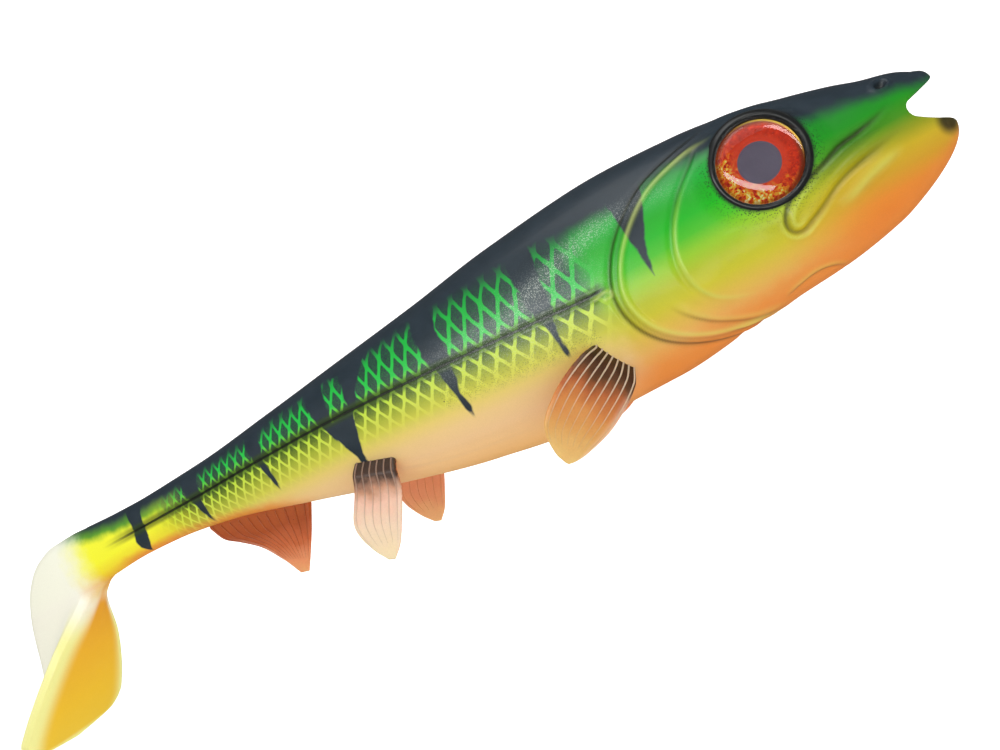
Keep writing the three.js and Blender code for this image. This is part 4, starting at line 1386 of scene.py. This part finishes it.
# The foil also glows a little: painted light where the clear dome keeps light from it.
shell = put(tree, "ShaderNodeBsdfPrincipled", {
    "Base Color": colour, "Metallic": metal, "Roughness": 0.32, "Normal": tilt.outputs["Normal"],
    "Emission Color": colour, "Emission Strength": 0.3})
tree.links.new(shell.outputs[0], out.inputs["Surface"])

clear_cast, tree, out = new_material("clear_cast")
shell = put(tree, "ShaderNodeBsdfPrincipled", {
    "Base Color": (1, 1, 1, 1), "Roughness": 0.015, "IOR": 1.46, "Transmission Weight": 1.0})
tree.links.new(shell.outputs[0], out.inputs["Surface"])

# %% Turned shapes
turn_steps = 128


def turned(name, profile, place, material, disc_map=False):
    """Spins a closed profile of (radius, height) round the eye's axis. Zero radii become poles."""
    spin = np.linspace(0, 2 * math.pi, turn_steps, endpoint=False)
    radius = np.array([p[0] for p in profile])
    height = np.array([p[1] for p in profile])
    local = np.stack([
        radius[:, None] * np.cos(spin), radius[:, None] * np.sin(spin),
        np.repeat(height[:, None], turn_steps, 1)], -1)
    matrix = np.array(place)
    points = local @ matrix[:3, :3].T + matrix[:3, 3]
    faces = ring_faces(len(profile), turn_steps)
    if profile[0][0] > 0:
        last, first = (len(profile) - 1) * turn_steps, 0
        faces += [[last + j, last + (j + 1) % turn_steps, (j + 1) % turn_steps, j] for j in range(turn_steps)]
    made = finish_mesh(name, points, faces, material, {"Disc": local[..., :2]} if disc_map else None)
    return made


def rounded(corners, radius, steps=5):
    """A profile whose inner corners are rounded."""
    made = [corners[0]]
    for before, at, after in zip(corners, corners[1:], corners[2:]):
        before, at, after = (np.array(p, float) for p in (before, at, after))
        reach = min(radius, np.linalg.norm(before - at) / 2, np.linalg.norm(after - at) / 2)
        a = at + (before - at) / np.linalg.norm(before - at) * reach
        b = at + (after - at) / np.linalg.norm(after - at) * reach
        for k in range(steps + 1):
            t = k / steps
            made.append(tuple((1 - t) ** 2 * a + 2 * t * (1 - t) * at + t * t * b))
    return made + [corners[-1]]


# %% Make the eyes
foil_half = 0.2
pad_thickness = 0.8
eye_gap = 0.3
dome_rim = 0.8
dome_rise = 2.2
dome = [(eye_radius * math.cos(a), foil_half + eye_gap + dome_rim + dome_rise * math.sin(a))
        for a in np.linspace(0, math.pi / 2, 25)]
dome[-1] = (0.0, dome[-1][1])
lens_floor = [(0.0, foil_half + eye_gap), (eye_radius, foil_half + eye_gap), dome[0]]
lens_profile = rounded(lens_floor, 0.15) + dome[1:]


def disc_profile(radius, low, high, edge_round):
    """The profile of a flat disc with rounded edges."""
    return rounded([(0.0, low), (radius, low), (radius, high), (0.0, high)], edge_round)


foil_profile = disc_profile(eye_radius - 0.2, -foil_half, foil_half, 0.08)
pad_low = -foil_half - eye_gap - pad_thickness
pad_profile = disc_profile(eye_radius - 1, pad_low, pad_low + pad_thickness, 0.3)
lip_profile = [(7.6, -2.0), (7.58, 1.6), (7.64, 2.1), (7.8, 2.45), (8.05, 2.6), (8.35, 2.56), (8.7, 2.32),
               (9.1, 1.9), (9.3, 1.3), (9.2, 0.6), (8.6, -2.0)]
eye_pieces = []
unlit_by_key = bpy.data.collections.new("unlit_by_key")
key_box.light_linking.receiver_collection = unlit_by_key
for side, label in ((-1, "right"), (1, "left")):
    place = eye_frame(side)
    pieces = {
        "eye_pad": turned("eye_glue_" + label, pad_profile, place, eye_pad_paint),
        "eye_foil": turned("eye_disc_" + label, foil_profile, place, eye_foil_print, disc_map=True),
        "eye_lens": turned("eye_dome_" + label, lens_profile, place, clear_cast),
    }
    unlit_by_key.objects.link(pieces["eye_lens"])
    unlit_by_key.collection_objects[-1].light_linking.link_state = "EXCLUDE"
    lip = turned("eye_lip_" + label, lip_profile, place, lip_paint)
    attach(lip, "front")
    for node, piece in pieces.items():
        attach(piece, "front")
        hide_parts(f"{node}_{label}")

# %% [markdown]
# ## Bodies
#
# The head's skin rides on the front body. Each other stretch of skin, each fin and its ribs has its
# place baked into its mesh, and the CAD parts that it stands for are hidden. On the real bait the skin
# bends from one body to the next over a length, and the fins bend just below their roots.

# %% Bake and hide
def bend(piece, first, second, start, end, slot, *nodes):
    """Bakes a piece's place into its mesh and hides the CAD nodes that it stands for. The two bodies, the
    bend's start and end and the slot are not used.
    """
    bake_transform(piece)
    if nodes:
        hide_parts(*nodes)


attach(head_skin, "front")
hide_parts("front_body")
bend(waist_skin, "front", "middle", (-74, 0, 0), (-102, 0, 0), "body_plastic", "mid_body")
bend(hip_skin, "middle", "rear", (-124, 0, 0), (-140, 0, 0), "body_plastic", "rear_body")
bend(stem_skin, "rear", "stem", (-171, 0, 0), (-185, 0, 0), "body_plastic", "tail_stem")
bend(kick_skin, "stem", "web", (-188, 0, 0), (-206, 0, 0), "tail_plastic", "tail_web")
bend(boot_tail, "web", "paddle", (-208.5, 0, -1.5), (-221.5, 0, -14.5), "tail_plastic", "tail_paddle")
for label in ("right", "left"):
    side = -1 if label == "right" else 1
    root = on_skin(-67.8, -15.1, side)
    web, ribs = paired["pectoral_" + label]
    turn = ("front", "pectoral_" + label, root, root + Vector((-4.9, side * 1.6, -3.2)), "fin_plastic")
    bend(web, *turn, "pectoral_fin_" + label)
    bend(ribs, *turn)
    web, ribs = paired["pelvic_" + label]
    turn = ("middle", "pelvic_" + label, (-121.5, 0, -8.6), (-122.8, 0, -13.2), "fin_plastic")
    bend(web, *turn, "pelvic_fin_" + label)
    bend(ribs, *turn)
turn = ("rear", "anal", (-160.8, 0, -5.6), (-161.6, 0, -9.2), "fin_plastic")
bend(anal_web, *turn, "anal_fin")
bend(anal_rays, *turn)

# %% Sizes
shown_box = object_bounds()
for label, box in (("CAD", cad_box), ("visual", shown_box)):
    print(label, "box in mm:", [round(v / MM, 1) for corner in box for v in corner])
